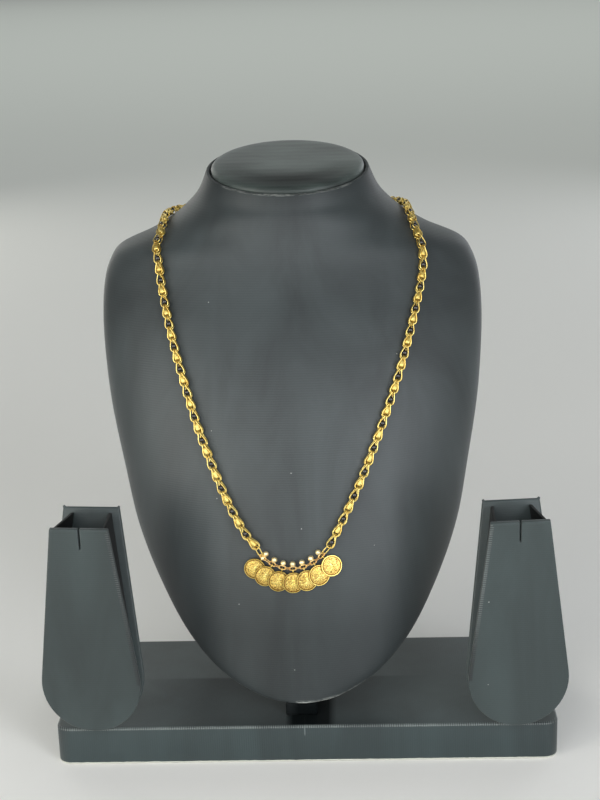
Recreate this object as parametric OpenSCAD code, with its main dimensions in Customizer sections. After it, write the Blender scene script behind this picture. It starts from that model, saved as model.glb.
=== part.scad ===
// Coin necklace of black and gold beads on the neck bust stand that it is worn on.
// Units are millimetres, Z is up and the front faces -Y. The origin is the middle of
// the underside of the whole object.

/* [Base] */
// Width of the base slab
base_w = 280; // [270:1:286]
// Depth of the base slab
base_d = 111; // [100:1:125]
// Height of the base slab
base_h = 22.4; // [18:0.2:26]
// Radius of the slab's upright corners
base_corner_r = 8; // [3:0.5:14]

/* [Bust] */
// Sideways place of the bust's foot from the middle of the base
bust_x = -2.5; // [-6:0.5:6]
// Sideways lean of the bust, in degrees, to the left when negative
side_lean = -0.75; // [-1.5:0.05:1.5]
// Forward tilt of the neck's top face, in degrees
neck_tilt = 13; // [8:1:16]
// Width of the block that carries the bust
block_w = 18; // [12:1:26]
// Depth of the block that carries the bust
block_d = 46; // [40:1:50]
// Gap between the neck's rim and the pad in it
pad_gap = 1.1; // [0.6:0.1:1.6]
// Width of the flat rim round the pad
rim_w = 2.2; // [1.5:0.1:3]
// Height of the pad's upright edge over the rim
pad_edge_h = 2.7; // [2:0.1:5]
// Height of the pad's crown over its edge
pad_crown_h = 2.6; // [2:0.1:6]

/* [Earring holders] */
// Distance of a holder's foot from the middle of the base
holder_x = 116.8; // [114:0.2:118]
// Height of the back board
back_h = 126.4; // [118:0.2:134]
// Height of the front board
front_h = 126.6; // [118:0.2:134]
// Height of the front board's foot over the back board's
front_foot = 1.6; // [0:0.2:4]
// Half width of a board at its top edge
holder_top_half = 15.5; // [13:0.1:18]
// Half width of a board at its round lower end
holder_r = 27.2; // [25:0.1:28]
// Height of a board's widest place over its foot
holder_rise = 30; // [27:0.5:33]
// Thickness of a board
board_t = 2.6; // [2:0.1:3.2]
// Forward lean of the front board, in degrees
front_lean = 6.9; // [5:0.1:8]
// Backward lean of the back board, in degrees
back_lean = 7.2; // [3:0.1:8]
// Inward lean of a holder, in degrees
inward_lean = 1.1; // [0:0.1:2]
// Outward turn of a holder, in degrees
outward_turn = 2; // [0:0.5:4]
// Length of the earring slit in the front board
slit_l = 12; // [8:0.5:14]
// Width of the earring slit
slit_w = 0.9; // [0.5:0.1:1.2]

/* [Chain] */
// Distance from link to link where the chain hangs straight
pitch_hanging = 7.2; // [7.0:0.05:7.25]
// Distance from link to link where the chain lies on the shoulders
pitch_lying = 6.6; // [6.3:0.05:7]
// Diameter of the link wire
wire_d = 0.76; // [0.7:0.02:0.8]
// Half width of a link's round end, to the middle of the wire
link_half_w = 1.8; // [1.7:0.05:1.9]
// Half depth of a link's folded end, to the middle of the wire
fold_half_d = 2; // [1.95:0.05:2.1]
// Diameter of a black glass bead
black_d = 2.84; // [2.6:0.02:2.9]
// Greatest diameter of a gold barrel bead
barrel_d = 3.2; // [2.8:0.05:3.24]
// Length of a gold barrel bead
barrel_l = 4.1; // [3.6:0.05:4.2]

/* [Pendant] */
// Diameter of a coin
coin_d = 11.9; // [11:0.1:12]
// Thickness of a coin without its relief
coin_t = 0.6; // [0.5:0.05:0.65]
// Height of the raised rim and figure
relief_h = 0.22; // [0.15:0.01:0.25]
// Sideways turn of each coin, so that its left edge lies over its neighbour
shingle = 9; // [8.5:0.5:10]
// Diameter of the gold balls
ball_d = 3.2; // [2.8:0.05:3.3]

/* [Hidden] */
coin_count = 7;

$fn = 48;
leather = [0.19, 0.20, 0.20];
gold = [0.93, 0.72, 0.24];
glass = [0.05, 0.04, 0.05];
gap = 0.12;

// Columns of the section tables
Z = 0;
HALF_W = 1;
FRONT_Y = 2;
FRONT_D = 3;
BACK_D = 4;

// The bust's level sections: height, half width, front line behind the base's front
// edge, and depth in front of and behind the outline edge
sections = [
    [30.7, 8, 11.0, 1.5, 1.5],
    [33.5, 23, 11.4, 5.0, 4.0],
    [44, 45, 13.0, 14.0, 8.0],
    [62, 64, 15.8, 26.0, 12.0],
    [88, 80, 20.0, 38.5, 15.0],
    [118, 92.5, 25.9, 47.2, 18.0],
    [150, 100.0, 34.7, 51.6, 21.0],
    [182, 106.3, 45.5, 51.5, 24.0],
    [208, 109.6, 58.1, 49.2, 26.6],
    [230, 111.3, 71.8, 47.2, 29.0],
    [248, 110.8, 84.2, 46.6, 31.0],
    [260, 107.6, 91.4, 46.5, 33.0],
    [269, 100.7, 95.6, 46.1, 34.5],
    [277, 82.2, 98.3, 45.2, 35.2],
    [284, 70.0, 100.2, 44.4, 35.9],
    [291, 60.8, 101.7, 43.6, 36.9],
    [299, 53.3, 103.2, 42.6, 38.6],
    [310, 48.2, 104.8, 41.3, 41.3]];
row_count = len(sections);
// Steps of each span between two sections in the built surface and in the curves
surface_steps = [1, 1, 2, 2, 2, 1, 1, 1, 1, 1, 1, 2, 2, 2, 2, 2, 2];
curve_steps = 12;
bust_sides = 32;

// The rim's place, and where the tilt of the upper sections begins
neck = sections[row_count - 1];
tilt_from_z = 284;

// Depth of the whole object, from the holders' front edge to the neck's rear edge
holder_foot_y = -1.2;
wedge_half = 1.4;
front_top_x = holder_top_half * cos(inward_lean) + (front_foot + front_h) * sin(inward_lean);
front_top_y = wedge_half + board_t * cos(front_lean) + front_h * sin(front_lean);
deepest_front = holder_foot_y - front_top_y * cos(outward_turn) - front_top_x * sin(outward_turn);
deepest_back = neck[FRONT_Y] + neck[FRONT_D] + neck[BACK_D];
origin_y = (deepest_front + deepest_back) / 2;

// Plain vector helpers
function unit(v) = v / norm(v);
function flat_to(v, n) = v - (v * n) * n;

// A smooth curve through the rows of a table, at a row number that may be a fraction
function curve_at(table, t) =
    let (last = len(table) - 1, i = min(floor(t), last - 1), f = t - i,
        a = table[max(i - 1, 0)], b = table[i], c = table[i + 1], d = table[min(i + 2, last)])
    0.5 * (2 * b + (c - a) * f + (2 * a - 5 * b + 4 * c - d) * f * f
        + (3 * b - a - 3 * c + d) * f * f * f);
function curve(table, steps) = concat(
    [for (i = [0:len(table) - 2], k = [0:steps - 1]) curve_at(table, i + k / steps)],
    [table[len(table) - 1]]);

// The bust's sizes at any height
bust_curve = curve(sections, curve_steps);
function column(c) = [for (row = bust_curve) [row[Z], row[c]]];
half_w_curve = column(HALF_W);
front_y_curve = column(FRONT_Y);
front_d_curve = column(FRONT_D);
back_d_curve = column(BACK_D);

// A point of the bust at an angle from the front middle, positive to the right
function middle_x(z) = bust_x + (z - sections[0][Z]) * tan(side_lean);
function section_point(row, angle) =
    [middle_x(row[Z]) + row[HALF_W] * sin(angle),
     row[FRONT_Y] + row[FRONT_D] - (cos(angle) > 0 ? row[FRONT_D] : row[BACK_D]) * cos(angle),
     row[Z]];
function row_at(z) = [z, lookup(z, half_w_curve), lookup(z, front_y_curve),
    lookup(z, front_d_curve), lookup(z, back_d_curve)];
function skin(angle, z) = section_point(row_at(z), angle);
function skin_normal(angle, z) = unit(cross(
    skin(angle + 0.5, z) - skin(angle - 0.5, z), skin(angle, z + 0.5) - skin(angle, z - 0.5)));

// The chain's routes over the bust: angle from the front middle and height, from the
// coins up over the shoulder to the middle of the back
left_route = [[-13.1, 119.0], [-16.9, 126.6], [-22.0, 144.0], [-25.8, 162.5], [-29.2, 181.5],
    [-32.1, 199.8], [-34.9, 216.3], [-37.5, 232.8], [-40.4, 249.5], [-44.8, 264.6],
    [-53.5, 272.6], [-65.5, 278.0], [-78.0, 281.8], [-92.0, 283.2], [-110.0, 283.2],
    [-130.0, 283.0], [-155.0, 283.0], [-180.0, 283.0]];
right_route = [[11.5, 119.0], [16.1, 133.6], [21.2, 151.7], [25.3, 169.7], [29.2, 188.0],
    [32.9, 205.2], [36.1, 221.7], [39.3, 237.6], [43.0, 253.3], [48.3, 268.7],
    [58.4, 275.8], [70.5, 281.2], [83.0, 284.9], [98.0, 285.6], [120.0, 284.6],
    [150.0, 283.4], [180.0, 283.0]];
route_steps = 8;
chain_lift = 2.75;

function lifted(angle, z, lift) = skin(angle, z) + skin_normal(angle, z) * lift;
function route_rows(route) = [for (p = curve(route, route_steps))
    [each lifted(p[0], p[1], chain_lift), each skin_normal(p[0], p[1])]];
function run_lengths(rows, i = 1, sum = [0]) = i == len(rows) ? sum
    : run_lengths(rows, i + 1,
        concat(sum, sum[i - 1] + norm([for (k = [0:2]) rows[i][k] - rows[i - 1][k]])));
function route_tables(rows, lengths) =
    [for (c = [0:5]) [for (i = [0:len(rows) - 1]) [lengths[i], rows[i][c]]]];
function along(tables, s) = [for (c = [0:2]) lookup(s, tables[c])];
function normal_along(tables, s) = unit([for (c = [3:5]) lookup(s, tables[c])]);

left_rows = route_rows(left_route);
right_rows = route_rows(right_route);
left_lengths = run_lengths(left_rows);
right_lengths = run_lengths(right_rows);
left_tables = route_tables(left_rows, left_lengths);
right_tables = route_tables(right_rows, right_lengths);
left_run = left_lengths[len(left_lengths) - 1];
right_run = right_lengths[len(right_lengths) - 1];

// The clasp lies behind the neck: a hook with an eye at each end, and a ring on each side
hook_half = 5;
ring_wire_d = 0.66;
clasp_ring_r = 2.3;
clasp_reach = hook_half + 2 * clasp_ring_r - wire_d / 2 - gap - ring_wire_d / 2;

// Link places: the pitch shrinks evenly from the coins to the clasp, and the run is
// shared out so that the last link meets the clasp
mean_pitch = (pitch_hanging + pitch_lying) / 2;
function link_count(run) = round((run - clasp_reach) / mean_pitch);
function stop(run, i) =
    let (n = link_count(run), even = pitch_hanging * i
        - (pitch_hanging - pitch_lying) * i * i / (2 * n))
    even * (run - clasp_reach) / (mean_pitch * n);

// A frame is an origin and three axes. Local +Z runs up the chain, and local -Y faces out
function frame(origin, up, out) =
    let (z = unit(up), y = -unit(flat_to(out, z)))
    [origin, cross(y, z), y, z];
function link_frame(tables, run, i) =
    let (low = along(tables, stop(run, i)), high = along(tables, stop(run, i + 1)))
    frame(high, high - low, normal_along(tables, stop(run, i + 1)));
function to_world(f, p) = f[0] + p[0] * f[1] + p[1] * f[2] + p[2] * f[3];
module at_frame(f) {
    multmatrix([for (k = [0:2]) [f[1][k], f[2][k], f[3][k], f[0][k]]]) children();
}

// One link is a closed wire loop folded over in the middle: two wires run back at the
// top, and a rounded lobe hangs in front and another behind
arch_gap = 0.17;
arch_z = -(pitch_hanging + wire_d + arch_gap);
fold_half_w = 0.42;
wide_z = -5.9;
wide_half_d = 1.4;
arch_half_w = 1.4;
arch_half_d = 0.8;
lobe = [[fold_half_w, fold_half_d, 0], [link_half_w, wide_half_d, wide_z],
    [arch_half_w, arch_half_d, arch_z]];
function signed(p, sx, sy, s) = [sx * p[0], sy * p[1], s * p[2]];
function link_path(s) = concat(
    [for (k = [0:2]) signed(lobe[k], -1, -1, s)], [for (k = [2:-1:0]) signed(lobe[k], 1, -1, s)],
    [for (k = [0:2]) signed(lobe[k], 1, 1, s)], [for (k = [2:-1:0]) signed(lobe[k], -1, 1, s)]);
link_middle = [0, 0, -4];
wire_sides = 5;

// Rings of points round a closed path, faced away from a middle point
function ring_points(path, middle, r, sides) =
    let (n = len(path))
    [for (i = [0:n - 1])
        let (t = unit(path[(i + 1) % n] - path[(i + n - 1) % n]),
            u = unit(flat_to(path[i] - middle, t)), v = cross(t, u))
        for (k = [0:sides - 1])
            path[i] + r * (cos(360 * k / sides) * u + sin(360 * k / sides) * v)];
function ring_faces(rings, sides, first) =
    [for (i = [0:rings - 1], k = [0:sides - 1])
        let (a = first + i * sides, b = first + ((i + 1) % rings) * sides, m = (k + 1) % sides)
        each [[a + k, b + k, b + m], [a + k, b + m, a + m]]];
link_rings = 12;
function link_reach(tables, run, i) =
    norm(along(tables, stop(run, i + 1)) - along(tables, stop(run, i)));
function link_scale(tables, run, i) =
    (link_reach(tables, run, i) - pitch_hanging) / -arch_z + 1;

module chain(tables, run) {
    n = link_count(run);
    color(gold) polyhedron(
        points = [for (i = [0:n - 1]) let (f = link_frame(tables, run, i),
                path = link_path(link_scale(tables, run, i)))
            for (p = ring_points(path, link_middle, wire_d / 2, wire_sides)) to_world(f, p)],
        faces = [for (i = [0:n - 1])
            each ring_faces(link_rings, wire_sides, i * link_rings * wire_sides)]);
}

// Black glass beads sit in every second link, gold barrels in the others
black_z = -4.3;
barrel_top_z = -1.6;
module black_beads(tables, run, first) {
    color(glass) for (i = [first:2:link_count(run) - 1])
        translate(to_world(link_frame(tables, run, i), [0, 0, black_z]))
            sphere(d = black_d, $fn = 24);
}
module gold_barrels(tables, run, first) {
    r = barrel_d / 2;
    color(gold) for (i = [first:2:link_count(run) - 2])
        at_frame(link_frame(tables, run, i))
            translate([0, 0, (barrel_top_z - barrel_l - link_reach(tables, run, i) + 0.5) / 2])
            rotate_extrude($fn = 24) polygon([[0, 0], [r * 0.84, 0], [r, barrel_l * 0.18],
                [r, barrel_l * 0.5], [r * 0.74, barrel_l], [0, barrel_l]]);
}

// Places of the pendant on the front of the bust, by fan radius and angle
fan_x = -5.9;
fan_z = 130.8;
function front_angle(x, z) = asin((x - middle_x(z)) / lookup(z, half_w_curve));
function front_normal(x, z) = skin_normal(front_angle(x, z), z);
function front_point(x, z, lift) = skin(front_angle(x, z), z) + front_normal(x, z) * lift;
function fan_frame(r, angle, lift) =
    let (x = fan_x + r * sin(angle), z = fan_z - r * cos(angle),
        here = front_point(x, z, lift),
        inner = front_point(fan_x + (r - 2) * sin(angle), fan_z - (r - 2) * cos(angle), lift))
    frame(here, inner - here, front_normal(x, z));

// The seven units of the fan from left to right: the angle of the connector with its
// ball, the angle of the coin, and the coin's distance from the fan's centre
TURN = 0;
COIN_TURN = 1;
COIN_R = 2;
units = [[-42.2, -40.6, 32.0], [-27.0, -28.2, 31.9], [-12.8, -13.9, 31.7], [1.3, 1.1, 31.7],
    [15.4, 15.0, 31.3], [30.0, 28.4, 31.1], [44.2, 43.8, 31.2]];

// Coin with a raised rim, a raised seated figure on a lotus, and its hanging loop
loop_r = 1.05;
loop_wire_d = 0.6;
coin_lift = 1.6;
connector_lift = 2.2;
module petal(angle, r, length, width) {
    rotate([0, angle, 0]) translate([0, 0, r])
        rotate([90, 0, 0]) linear_extrude(relief_h)
            polygon([[-width / 2, 0], [0, -length * 0.2], [width / 2, 0], [0, length]]);
}
module figure() {
    face_y = -coin_t / 2;
    translate([0, face_y + 0.01, 0]) {
        translate([0, 0, 2.2]) rotate([90, 0, 0]) cylinder(d = 1.5, h = relief_h);
        rotate([90, 0, 0]) linear_extrude(relief_h)
            polygon([[-0.9, 1.3], [0.9, 1.3], [0.6, 0], [2.1, -1], [1.7, -1.7],
                [-1.7, -1.7], [-2.1, -1], [-0.6, 0]]);
        translate([0, 0, -1.9]) for (a = [-2:2]) petal(180 + a * 32, 0.2, 1.5, 0.8);
        for (side = [-1, 1]) translate([side * 2.9, 0, 0.9]) for (a = [0:2])
            petal(a * 120, 0, 0.9, 0.5);
    }
}
module coin() {
    color(gold) {
        rotate([90, 0, 0]) cylinder(d = coin_d, h = coin_t, center = true);
        translate([0, -coin_t / 2 + 0.01, 0]) rotate([90, 0, 0]) difference() {
            cylinder(d = coin_d, h = relief_h);
            translate([0, 0, -1]) cylinder(d = coin_d - 1.5, h = relief_h + 2);
        }
        figure();
        translate([0, 0, loop_rise]) rotate([0, 90, 0])
            rotate_extrude($fn = 24) translate([loop_r, 0]) circle(d = loop_wire_d, $fn = 16);
    }
}
loop_rise = coin_d / 2 + 1;
module placed_coin(i) {
    here = fan_frame(units[i - 1][COIN_R], units[i - 1][COIN_TURN], coin_lift);
    hang = connector_frame(i)[0] + connector_frame(i)[3] * (wire_clear - connector_h / 2 - loop_r);
    at_frame(frame(hang - unit(hang - here[0]) * loop_rise, hang - here[0], front_normal(here[0][0], here[0][2])))
        rotate([0, 0, shingle]) coin();
}

// Connector: a slotted oval link that the coin's loop hangs on, with a ball on top
connector_wire_d = 0.46;
connector_reach = connector_wire_d / sqrt(2);
connector_w = 3.9;
connector_h = 1.8;
wire_clear = loop_wire_d / 2 + connector_reach + gap;
connector_r = 23.4;
function connector_frame(i) = fan_frame(connector_r, units[i - 1][TURN], connector_lift);
module slot_shape(width, height) {
    straight = width - height;
    square([straight, height], center = true);
    for (side = [-1, 1]) translate([side * straight / 2, 0]) circle(d = height);
}
module slotted_link(width, height, wire) {
    translate([0, wire / 2, 0]) rotate([90, 0, 0]) linear_extrude(wire) difference() {
        slot_shape(width + wire, height + wire);
        slot_shape(width - wire, height - wire);
    }
}
module connector(i) {
    color(gold) at_frame(connector_frame(i)) {
        slotted_link(connector_w, connector_h, connector_wire_d);
        translate([0, 0, connector_h / 2 + connector_wire_d / 2 + ball_d / 2 - 0.15])
            sphere(d = ball_d, $fn = 24);
    }
}

// Small rings that join one connector to the next
joint_wire_d = 0.46;
joint_inset = joint_wire_d / 2 + connector_reach + gap;
module joint_ring(i) {
    a = to_world(connector_frame(i), [connector_w / 2 - joint_inset, 0, 0]);
    b = to_world(connector_frame(i + 1), [joint_inset - connector_w / 2, 0, 0]);
    middle = (a + b) / 2;
    color(gold) at_frame(frame(middle, b - a, front_normal(middle[0], middle[2])))
        rotate([0, 90, 0]) rotate_extrude($fn = 24) translate([norm(b - a) / 2, 0])
            circle(d = joint_wire_d, $fn = 16);
}

// Jump rings that hang the row on the chain, seen nearly edge on
jump_wire_d = 0.7;
jump_turn = 24;
jump_rise = 0.55;
jump_half_d = 2.1;
jump_out = 0.25;
jump_inset = 0.94;
oval_steps = 8;
oval_sides = 6;
function oval_path(width, height) = [for (end = [1, -1], k = [0:oval_steps])
    let (a = (k / oval_steps - 0.5) * 180)
    [end * ((width - height) / 2 + height / 2 * cos(a)), 0, end * height / 2 * sin(a)]];
module oval_wire(width, height, wire) {
    rings = 2 * (oval_steps + 1);
    polyhedron(points = ring_points(oval_path(width, height), [0, 0, 0], wire / 2, oval_sides),
        faces = ring_faces(rings, oval_sides, 0));
}
module jump_ring(tables, run, i, side, turn) {
    low = to_world(connector_frame(i), [side * (connector_w / 2 - jump_inset), 0, 0]);
    link = link_frame(tables, run, 0);
    high = to_world(link, [0, -jump_out, arch_z + (wire_d + jump_wire_d) / 2 + gap + jump_rise]);
    color(gold) at_frame(frame((low + high) / 2, high - low, normal_along(tables, 0)))
        rotate([0, 0, turn]) rotate([0, 0, 90]) rotate([0, 90, 0])
            oval_wire(norm(high - low), 2 * jump_half_d, jump_wire_d);
}

// Clasp: a ring through each chain's first fold and a hook with two eyes between them
function clasp_frame(tables, run, s) =
    frame(along(tables, run - s), along(tables, run - s + 1) - along(tables, run - s - 1),
        normal_along(tables, run - s));
module clasp_ring(tables, run) {
    color(gold) at_frame(clasp_frame(tables, run, hook_half + clasp_ring_r))
        rotate([90, 0, 0]) rotate_extrude($fn = 32) translate([clasp_ring_r, 0])
            circle(d = ring_wire_d, $fn = 16);
}
eye_r = 1.15;
eye_wire_d = 0.8;
module clasp_hook() {
    f = clasp_frame(left_tables, left_run, 0);
    color(gold) at_frame([f[0], f[1], f[2], f[3]]) {
        for (side = [-1, 1]) translate([0, 0, side * (hook_half - 0.2)]) rotate([0, 90, 0])
            rotate_extrude($fn = 32) translate([eye_r, 0]) circle(d = eye_wire_d, $fn = 16);
        cylinder(d = eye_wire_d * 1.4, h = 2 * (hook_half - 0.2 - eye_r), center = true);
    }
}

// Stand
module base() {
    inner_w = base_w - 2 * base_corner_r;
    inner_d = base_d - 2 * base_corner_r;
    color(leather) translate([0, base_d / 2, 0]) linear_extrude(base_h) {
        square([base_w, inner_d], center = true);
        square([inner_w, base_d], center = true);
        for (sx = [-1, 1], sy = [-1, 1])
            translate([sx * inner_w / 2, sy * inner_d / 2]) circle(r = base_corner_r);
    }
}

// The bust's built surface: level rings whose upper ones tilt with the neck
function tilt_share(z) = let (t = max(0, (z - tilt_from_z) / (neck[Z] - tilt_from_z)))
    t * t * (3 - 2 * t);
neck_y = neck[FRONT_Y] + neck[FRONT_D];
function tilted(p) = [p[0], p[1], p[2] + (p[1] - neck_y) * tan(neck_tilt) * tilt_share(p[2])];
function grown(row, by) = [row[Z], row[HALF_W] + by, row[FRONT_Y] - by, row[FRONT_D] + by,
    row[BACK_D] + by];
function raised(row, by) = [row[Z] + by, row[HALF_W], row[FRONT_Y], row[FRONT_D], row[BACK_D]];
function ring_of(row) = [for (k = [0:bust_sides - 1])
    section_point(row, 360 * k / bust_sides)];
function neck_ring(shrink, rise) =
    [for (p = ring_of(grown(neck, -shrink))) tilted(p) + [0, 0, rise]];
function loft_faces(rings, sides) = concat(
    [[for (k = [0:sides - 1]) sides - 1 - k]],
    [for (i = [0:rings - 2], k = [0:sides - 1])
        let (a = i * sides + k, b = i * sides + (k + 1) % sides)
        each [[a, b, b + sides], [a, b + sides, a + sides]]],
    [[for (k = [0:sides - 1]) (rings - 1) * sides + k]]);
module loft(rings) {
    polyhedron(points = [for (r = rings) each r],
        faces = [for (f = loft_faces(len(rings), len(rings[0]))) [for (k = [len(f) - 1:-1:0]) f[k]]]);
}
recess_d = 3;
rim_edge = 0.9;
bust_rows = concat(
    [for (i = [0:row_count - 2], k = [0:surface_steps[i] - 1])
        curve_at(sections, i + k / surface_steps[i])],
    [neck]);
module bust() {
    color(leather) loft(concat(
        [for (row = bust_rows) [for (p = ring_of(row)) tilted(p)]],
        [neck_ring(rim_edge, rim_edge * 0.8), neck_ring(rim_w, rim_edge * 0.8),
         neck_ring(rim_w, -recess_d)]));
}
pad_inset = rim_w + pad_gap;
module neck_pad() {
    color(leather) loft([
        neck_ring(pad_inset, -recess_d + 0.2), neck_ring(pad_inset - 0.4, pad_edge_h * 0.4),
        neck_ring(pad_inset + 0.9, pad_edge_h), neck_ring(pad_inset + 4, pad_edge_h * 1.45),
        neck_ring(pad_inset + 12, pad_edge_h + pad_crown_h * 0.7),
        neck_ring(pad_inset + 24, pad_edge_h + pad_crown_h)]);
}

// The block's top follows the underside of the bust
block_gap = 0.25;
block_front_y = 12;
function under_point(z) = let (row = row_at(z))
    [row[FRONT_Y] + row[FRONT_D] + row[BACK_D] + block_gap, z - block_gap];
block_heights = [for (z = [sections[0][Z], each [33.5:3.5:61.5]])
    if (under_point(z)[0] < block_front_y + block_d) z];
module support_block() {
    color(leather) translate([bust_x - block_w / 2, 0, 0])
        rotate([90, 0, 90]) linear_extrude(block_w) polygon(concat(
            [[block_front_y, base_h + 0.1], [block_front_y, under_point(sections[0][Z])[1]]],
            [for (z = block_heights) under_point(z)],
            [[block_front_y + block_d, under_point(block_heights[len(block_heights) - 1])[1]],
             [block_front_y + block_d, base_h + 0.1]]));
}

// Earring holder: two boards with a straight taper and a round lower end, leaning apart,
// and a folded gusset between them that leaves a pocket open at the top
board_steps = 28;
function board_points(inset, h) =
    let (a = holder_r - inset, b = holder_rise - inset, top = holder_top_half - inset,
        u = top / a, v = (h - holder_rise) / b, t = atan2(v, u) - acos(1 / norm([u, v])))
    concat([[-top, h]],
        [for (k = [0:board_steps]) let (q = 180 - t + k * (180 + 2 * t) / board_steps)
            [a * cos(q), holder_rise + b * sin(q)]],
        [[top, h]]);
module board(h) {
    rotate([90, 0, 0]) linear_extrude(board_t) polygon(board_points(0, h));
}
holder_lift = 0.1;
module holder_place(side) {
    translate([side * holder_x, holder_foot_y, base_h + holder_lift])
        rotate([0, 0, side * outward_turn]) rotate([0, -side * inward_lean, 0]) children();
}
module holder_front(side) {
    color(leather) holder_place(side) translate([0, -wedge_half, front_foot])
        rotate([front_lean, 0, 0]) difference() {
            board(front_h);
            translate([-slit_w / 2, -board_t - 1, front_h - slit_l])
                cube([slit_w, board_t + 2, slit_l + 1]);
        }
}
module holder_back(side) {
    color(leather) holder_place(side) translate([0, wedge_half, board_t * sin(back_lean)])
        rotate([-back_lean, 0, 0]) translate([0, board_t, 0]) board(back_h);
}
gusset_front_inset = 1.6;
gusset_back_inset = 4.4;
gusset_t = 1.6;
gusset_gap = 0.12;
gusset_low = 2.5;
function on_front(p) = let (h = max(p[1], gusset_low))
    [p[0], gusset_gap - wedge_half - h * sin(front_lean), front_foot + h * cos(front_lean)];
function on_back(p) = let (h = max(p[1], gusset_low))
    [p[0], wedge_half - gusset_gap + h * sin(back_lean), board_t * sin(back_lean) + h * cos(back_lean)];
module holder_gusset(side) {
    front_top = front_h - 0.4;
    back_top = back_h - 3;
    rows = [
        [for (p = board_points(gusset_front_inset, front_top)) on_front(p)],
        [for (p = board_points(gusset_back_inset, back_top)) on_back(p)],
        [for (p = board_points(gusset_back_inset + gusset_t, back_top)) on_back(p)],
        [for (p = board_points(gusset_front_inset + gusset_t, front_top)) on_front(p)]];
    color(leather) holder_place(side)
        loft([for (k = [0:len(rows[0]) - 1]) [for (row = rows) row[k]]]);
}

module piece(name) {
    translate([0, -origin_y, 0]) children();
}
piece("base") base();
piece("support_block") support_block();
piece("bust") bust();
piece("neck_pad") neck_pad();
piece("holder_left_front") holder_front(-1);
piece("holder_left_back") holder_back(-1);
piece("holder_left_gusset") holder_gusset(-1);
piece("holder_right_front") holder_front(1);
piece("holder_right_back") holder_back(1);
piece("holder_right_gusset") holder_gusset(1);
piece("chain_left") chain(left_tables, left_run);
piece("chain_right") chain(right_tables, right_run);
piece("black_beads_left") black_beads(left_tables, left_run, 1);
piece("black_beads_right") black_beads(right_tables, right_run, 0);
piece("gold_barrels_left") gold_barrels(left_tables, left_run, 0);
piece("gold_barrels_right") gold_barrels(right_tables, right_run, 1);
piece("jump_ring_left") jump_ring(left_tables, left_run, 1, -1, jump_turn);
piece("jump_ring_right") jump_ring(right_tables, right_run, coin_count, 1, -jump_turn);
piece("clasp_ring_left") clasp_ring(left_tables, left_run);
piece("clasp_ring_right") clasp_ring(right_tables, right_run);
piece("clasp_hook") clasp_hook();
for (i = [1:coin_count]) piece(str("connector_", i)) connector(i);
for (i = [1:coin_count - 1]) piece(str("joint_ring_", i)) joint_ring(i);
for (i = [1:coin_count]) piece(str("coin_", i)) placed_coin(i);
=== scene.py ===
"""Looks of a gold coin necklace with black beads on its black neck bust stand.

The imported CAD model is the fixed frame. Each class below holds the sizes of one
sub-assembly, builds its detailed meshes in metres in the CAD's frame, and dresses them.
"""

import logging
import math
from collections.abc import Callable, Iterator
from contextlib import contextmanager
from dataclasses import dataclass, field
from enum import Enum

import bpy
import numpy as np
from mathutils import Matrix, Vector


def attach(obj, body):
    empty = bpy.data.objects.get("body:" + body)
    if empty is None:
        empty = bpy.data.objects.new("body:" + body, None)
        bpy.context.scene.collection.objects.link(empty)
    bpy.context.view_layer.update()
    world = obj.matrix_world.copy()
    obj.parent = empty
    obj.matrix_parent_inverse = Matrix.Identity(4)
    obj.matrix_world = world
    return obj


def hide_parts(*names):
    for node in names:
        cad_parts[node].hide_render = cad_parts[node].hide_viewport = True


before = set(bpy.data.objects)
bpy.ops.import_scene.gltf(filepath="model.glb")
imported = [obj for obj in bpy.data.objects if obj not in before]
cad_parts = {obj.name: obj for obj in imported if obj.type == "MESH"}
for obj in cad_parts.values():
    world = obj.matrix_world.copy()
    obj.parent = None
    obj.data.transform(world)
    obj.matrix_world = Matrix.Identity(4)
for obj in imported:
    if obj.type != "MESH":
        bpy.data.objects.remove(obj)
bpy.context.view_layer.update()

LOG = logging.getLogger("necklace_stand")
MM = 0.001
ROOT = "root"

# Values between which nearly all of a noise pattern lies
NOISE_LOW = 0.3
NOISE_HIGH = 0.7

# Numbers at the points of a mesh that the finishes read
# Pale scuffs, and a painted highlight on the bust's lowest edge
SCUFF_AND_HIGHLIGHT = "scuffs_and_highlight"
# Painted shade, and on the coins patina and painted shade on their edges
PAINTED_SHADE_AND_PATINA = "shaded"

# Short names of the types that the functions take and give
Material = bpy.types.Material
Piece = bpy.types.Object
Socket = bpy.types.NodeSocket
Point = np.ndarray
Triple = tuple[float, float, float]
PointList = list[Triple]


class Slot(Enum):
    """Material slots of the record that a piece can take its finish from."""

    GOLD = "gold"
    GLASS = "black_glass"
    LEATHER = "black_leatherette"


class RibAxis(Enum):
    """Object axis that the leatherette's ribs are counted along."""

    UP = "Z"
    ACROSS = "X"


class Side(Enum):
    """Side of the stand as the camera sees it, with its sign along X."""

    LEFT = -1
    RIGHT = 1

    @property
    def word(self) -> str:
        """Returns the side's name as the CAD nodes spell it."""
        return self.name.lower()


# Materials


def linear(hex_colour: str) -> tuple[float, float, float, float]:
    """Turns an sRGB hex colour to linear.

    Args:
        hex_colour: six hex digits with a leading hash.

    Returns:
        Linear red, green, blue and an alpha of one.
    """
    channels = [int(hex_colour[i:i + 2], 16) / 255 for i in (1, 3, 5)]
    values = [c / 12.92 if c <= 0.04045 else ((c + 0.055) / 1.055) ** 2.4 for c in channels]
    return values[0], values[1], values[2], 1.0


def add_node(material: Material, kind: str, settings: dict | None = None,
             inputs: dict | None = None) -> bpy.types.Node:
    """Adds one node with its settings and links.

    Args:
        material: the material that gets the node.
        kind: the node's type without its ShaderNode prefix.
        settings: node properties by name.
        inputs: values or output sockets by input name or number.

    Returns:
        The new node.
    """
    tree = material.node_tree
    node = tree.nodes.new("ShaderNode" + kind)
    for name, value in (settings or {}).items():
        setattr(node, name, value)
    for name, value in (inputs or {}).items():
        if isinstance(value, Socket):
            tree.links.new(value, node.inputs[name])
        else:
            node.inputs[name].default_value = value
    return node


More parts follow.
